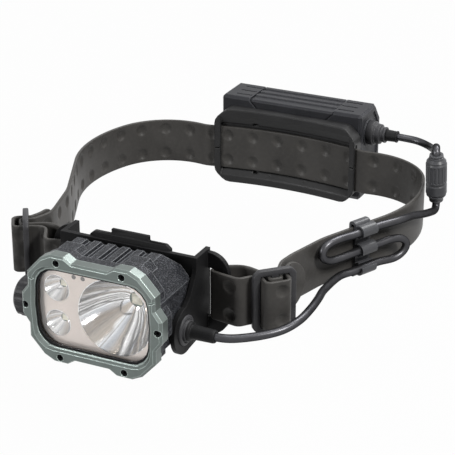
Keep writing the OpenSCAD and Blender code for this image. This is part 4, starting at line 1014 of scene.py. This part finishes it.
def pad_ring(inset):
    """Rounded rectangle, inset from the pad's outline, with points along its straight sides."""
    r = max(PAD_CORNER - inset, PAD_LEAST_CORNER)
    w, h = PAD_HALF_W - inset - r, PAD_HALF_H - inset - r
    corners = ((1, 1), (-1, 1), (-1, -1), (1, -1))
    pts = []
    for k, (sx, sz) in enumerate(corners):
        for i in range(PAD_ARC_STEPS + 1):
            g = math.radians(90 * k + 90 * i / PAD_ARC_STEPS)
            pts.append((sx * w + r * math.cos(g), sz * h + r * math.sin(g)))
        nx, nz = corners[(k + 1) % 4]
        g = math.radians(90 * (k + 1))
        ax, az = pts[-1]
        bx, bz = nx * w + r * math.cos(g), nz * h + r * math.sin(g)
        pts += [(ax + (bx - ax) * t, az + (bz - az) * t) for t in PAD_SIDE_STEPS]
    return pts


def pad_swell(inset):
    """0 at the rim and 1 from PAD_SOFT inwards, round in between."""
    k = min(inset / PAD_SOFT, 1)
    return math.sqrt(1 - (1 - k) ** 2)


def pad_thickness(x, inset):
    """Thickness at x: least at the middle, and slightly less near the rim."""
    full = PAD_MIN_T + PAD_R - math.sqrt(PAD_R ** 2 - x * x)
    crown = PAD_CROWN * math.cos(min(abs(x) / PAD_HALF_W, 1) * math.pi / 2)
    return full - crown * (1 - pad_swell(inset / CROWN_WIDER))


def make_pad(mat):
    """Crowned foam pad: flat on its carrier, soft at its rim and hollow towards the forehead."""
    rings = []
    for inset in reversed(PAD_INSETS):
        tuck = PAD_TUCK * (1 - pad_swell(inset * FRONT_NARROWER))
        rings.append([(x, PAD_FRONT_Y + tuck, z) for x, z in pad_ring(inset)])
    for inset in PAD_INSETS:
        rings.append([(x, PAD_FRONT_Y + PAD_TUCK
                       + (pad_thickness(x, inset) - PAD_TUCK) * pad_swell(inset), z)
                      for x, z in pad_ring(inset)])
    bm = bmesh.new()
    bridge_rings(bm, [[tuple(MM * c for c in p) for p in ring] for ring in rings])
    bmesh.ops.remove_doubles(bm, verts=bm.verts, dist=PAD_WELD)
    pad = new_piece("forehead_cushion", bm, "forehead_pad", mat)


# Reflectors -----------------------------------------------------------------------------------
# The plate's front, how far behind it the cups' rims lie, and the cups' wall
PLATE_Y = -144.2
CUP_LIP = 0.1
CUP_WALL = 0.35
# Joins points that lie nearer than this, in metres
CUP_WELD = 1e-6
# Edges that turn by more degrees than this look sharp
CUP_SHARP = 40
# Cups: x, radius, depth, the throat's radius, steps from throat to rim, and sides
SPOT_CUP = (11, 20.98, 23.9, 4.4, 40, 128)
FLOOD_CUP = (-22.6, 7.08, 6.9, 2.4, 16, 64)
FLOOD_ZS = (-10, 10)


def turned_cup(bm, cup, z):
    """Closed cup about an axis along Y, from its throat to its rim and back outside."""
    x, r, depth, throat, steps, sides = cup
    radii = [throat + (r - throat) * i / steps for i in range(steps + 1)]
    bowl = [(q, depth * (1 - (q * q - throat ** 2) / (r * r - throat ** 2))) for q in radii]
    outer = [(q + CUP_WALL, d) for q, d in reversed(bowl)]
    turns = [math.tau * j / sides for j in range(sides)]
    rings = [[(MM * (x + q * math.cos(g)), MM * (PLATE_Y + CUP_LIP + d), MM * (z + q * math.sin(g)))
              for g in turns] for q, d in bowl + outer]
    rings.append(rings[0])
    bridge_rings(bm, rings, cap=False)


def make_cups(name, node, cup, zs, mats):
    """Smooth cups at heights zs. The first finish is for cups below the axis or on it."""
    bm = bmesh.new()
    for z in zs:
        turned_cup(bm, cup, z)
    bmesh.ops.remove_doubles(bm, verts=bm.verts, dist=CUP_WELD)
    piece = new_piece(name, bm, node, mats[0])
    for mat in mats[1:]:
        piece.data.materials.append(mat)
    for face in piece.data.polygons:
        face.material_index = int(len(mats) > 1 and face.center.z > 0)
    piece.data.set_sharp_from_angle(angle=math.radians(CUP_SHARP))


def make_mirrors(spot):
    """The spot's cup, and the two of the flood lights, each with a painted reflection in bands about
    its own axis.
    """
    floods = [mirror("mirror_flood_%d" % i, (FLOOD_CUP[0], 0, z), FLOOD_REFLECTION_BANDS, sway_mm=9, rough=0.08)
              for i, z in enumerate(FLOOD_ZS)]
    make_cups("spot_mirror", "spot_reflector", SPOT_CUP, (0,), [spot])
    make_cups("flood_mirrors", "flood_reflectors", FLOOD_CUP, FLOOD_ZS, floods)


# Everything together --------------------------------------------------------------------------
# Nodes whose edges are rounded, and by how many millimetres
ROUNDED = {
    "mode_knob": 0.3, "pad_carrier": 0.5, "right_buckle": 0.6, "left_buckle": 0.6,
    "pivot_cap_right": 0.25, "pivot_cap_left": 0.25, "pivot_relief": 0.25, "connector_plug": 0.3,
    "gland_collar": 0.25, "battery_relief": 0.2, "port_cover": 0.3,
}
# Nodes whose finish isn't that of their slot
OWN_FINISH = {
    "cradle": "cradle_plastic", "indicator_studs": "stud",
    "right_buckle": "black_plastic", "left_buckle": "black_plastic",
    "connector_plug": "connector_rubber", "connector_socket": "connector_rubber",
    "coupling_sleeve": "connector_rubber", "cable_clip": "connector_rubber",
}


def dress_nodes(finishes, spot):
    """Gives each CAD node its finish. The cups' slot isn't among the finishes and takes spot."""
    for node, obj in NODES.items():
        finish = finishes.get(OWN_FINISH.get(node, SLOT_OF[node]), spot)
        for slot in obj.material_slots:
            slot.material = finish


def main():
    """Builds the studio, dresses the CAD nodes and adds the pieces that stand for nodes."""
    add_studio()
    finishes = make_finishes()
    # The spot cup's finish, with its painted reflection
    spot = mirror("mirror_spot", (SPOT_CUP[0], 0, 0), SPOT_REFLECTION_BANDS, sway_mm=16, rough=0.05)
    dress_nodes(finishes, spot)
    for node, width in ROUNDED.items():
        rounded(node, width, finishes[OWN_FINISH.get(node, SLOT_OF[node])])
    make_strap(finishes["strap_rubber"])
    make_lead("lamp_lead_tube", "lamp_lead", LAMP_ROUTE, finishes["lead_sheath"])
    make_lead("battery_lead_tube", "battery_lead", BATTERY_ROUTE, finishes["lead_sheath"])
    make_pad(finishes["foam"])
    make_mirrors(spot)
    bpy.context.scene.view_settings.view_transform = "Standard"


main()
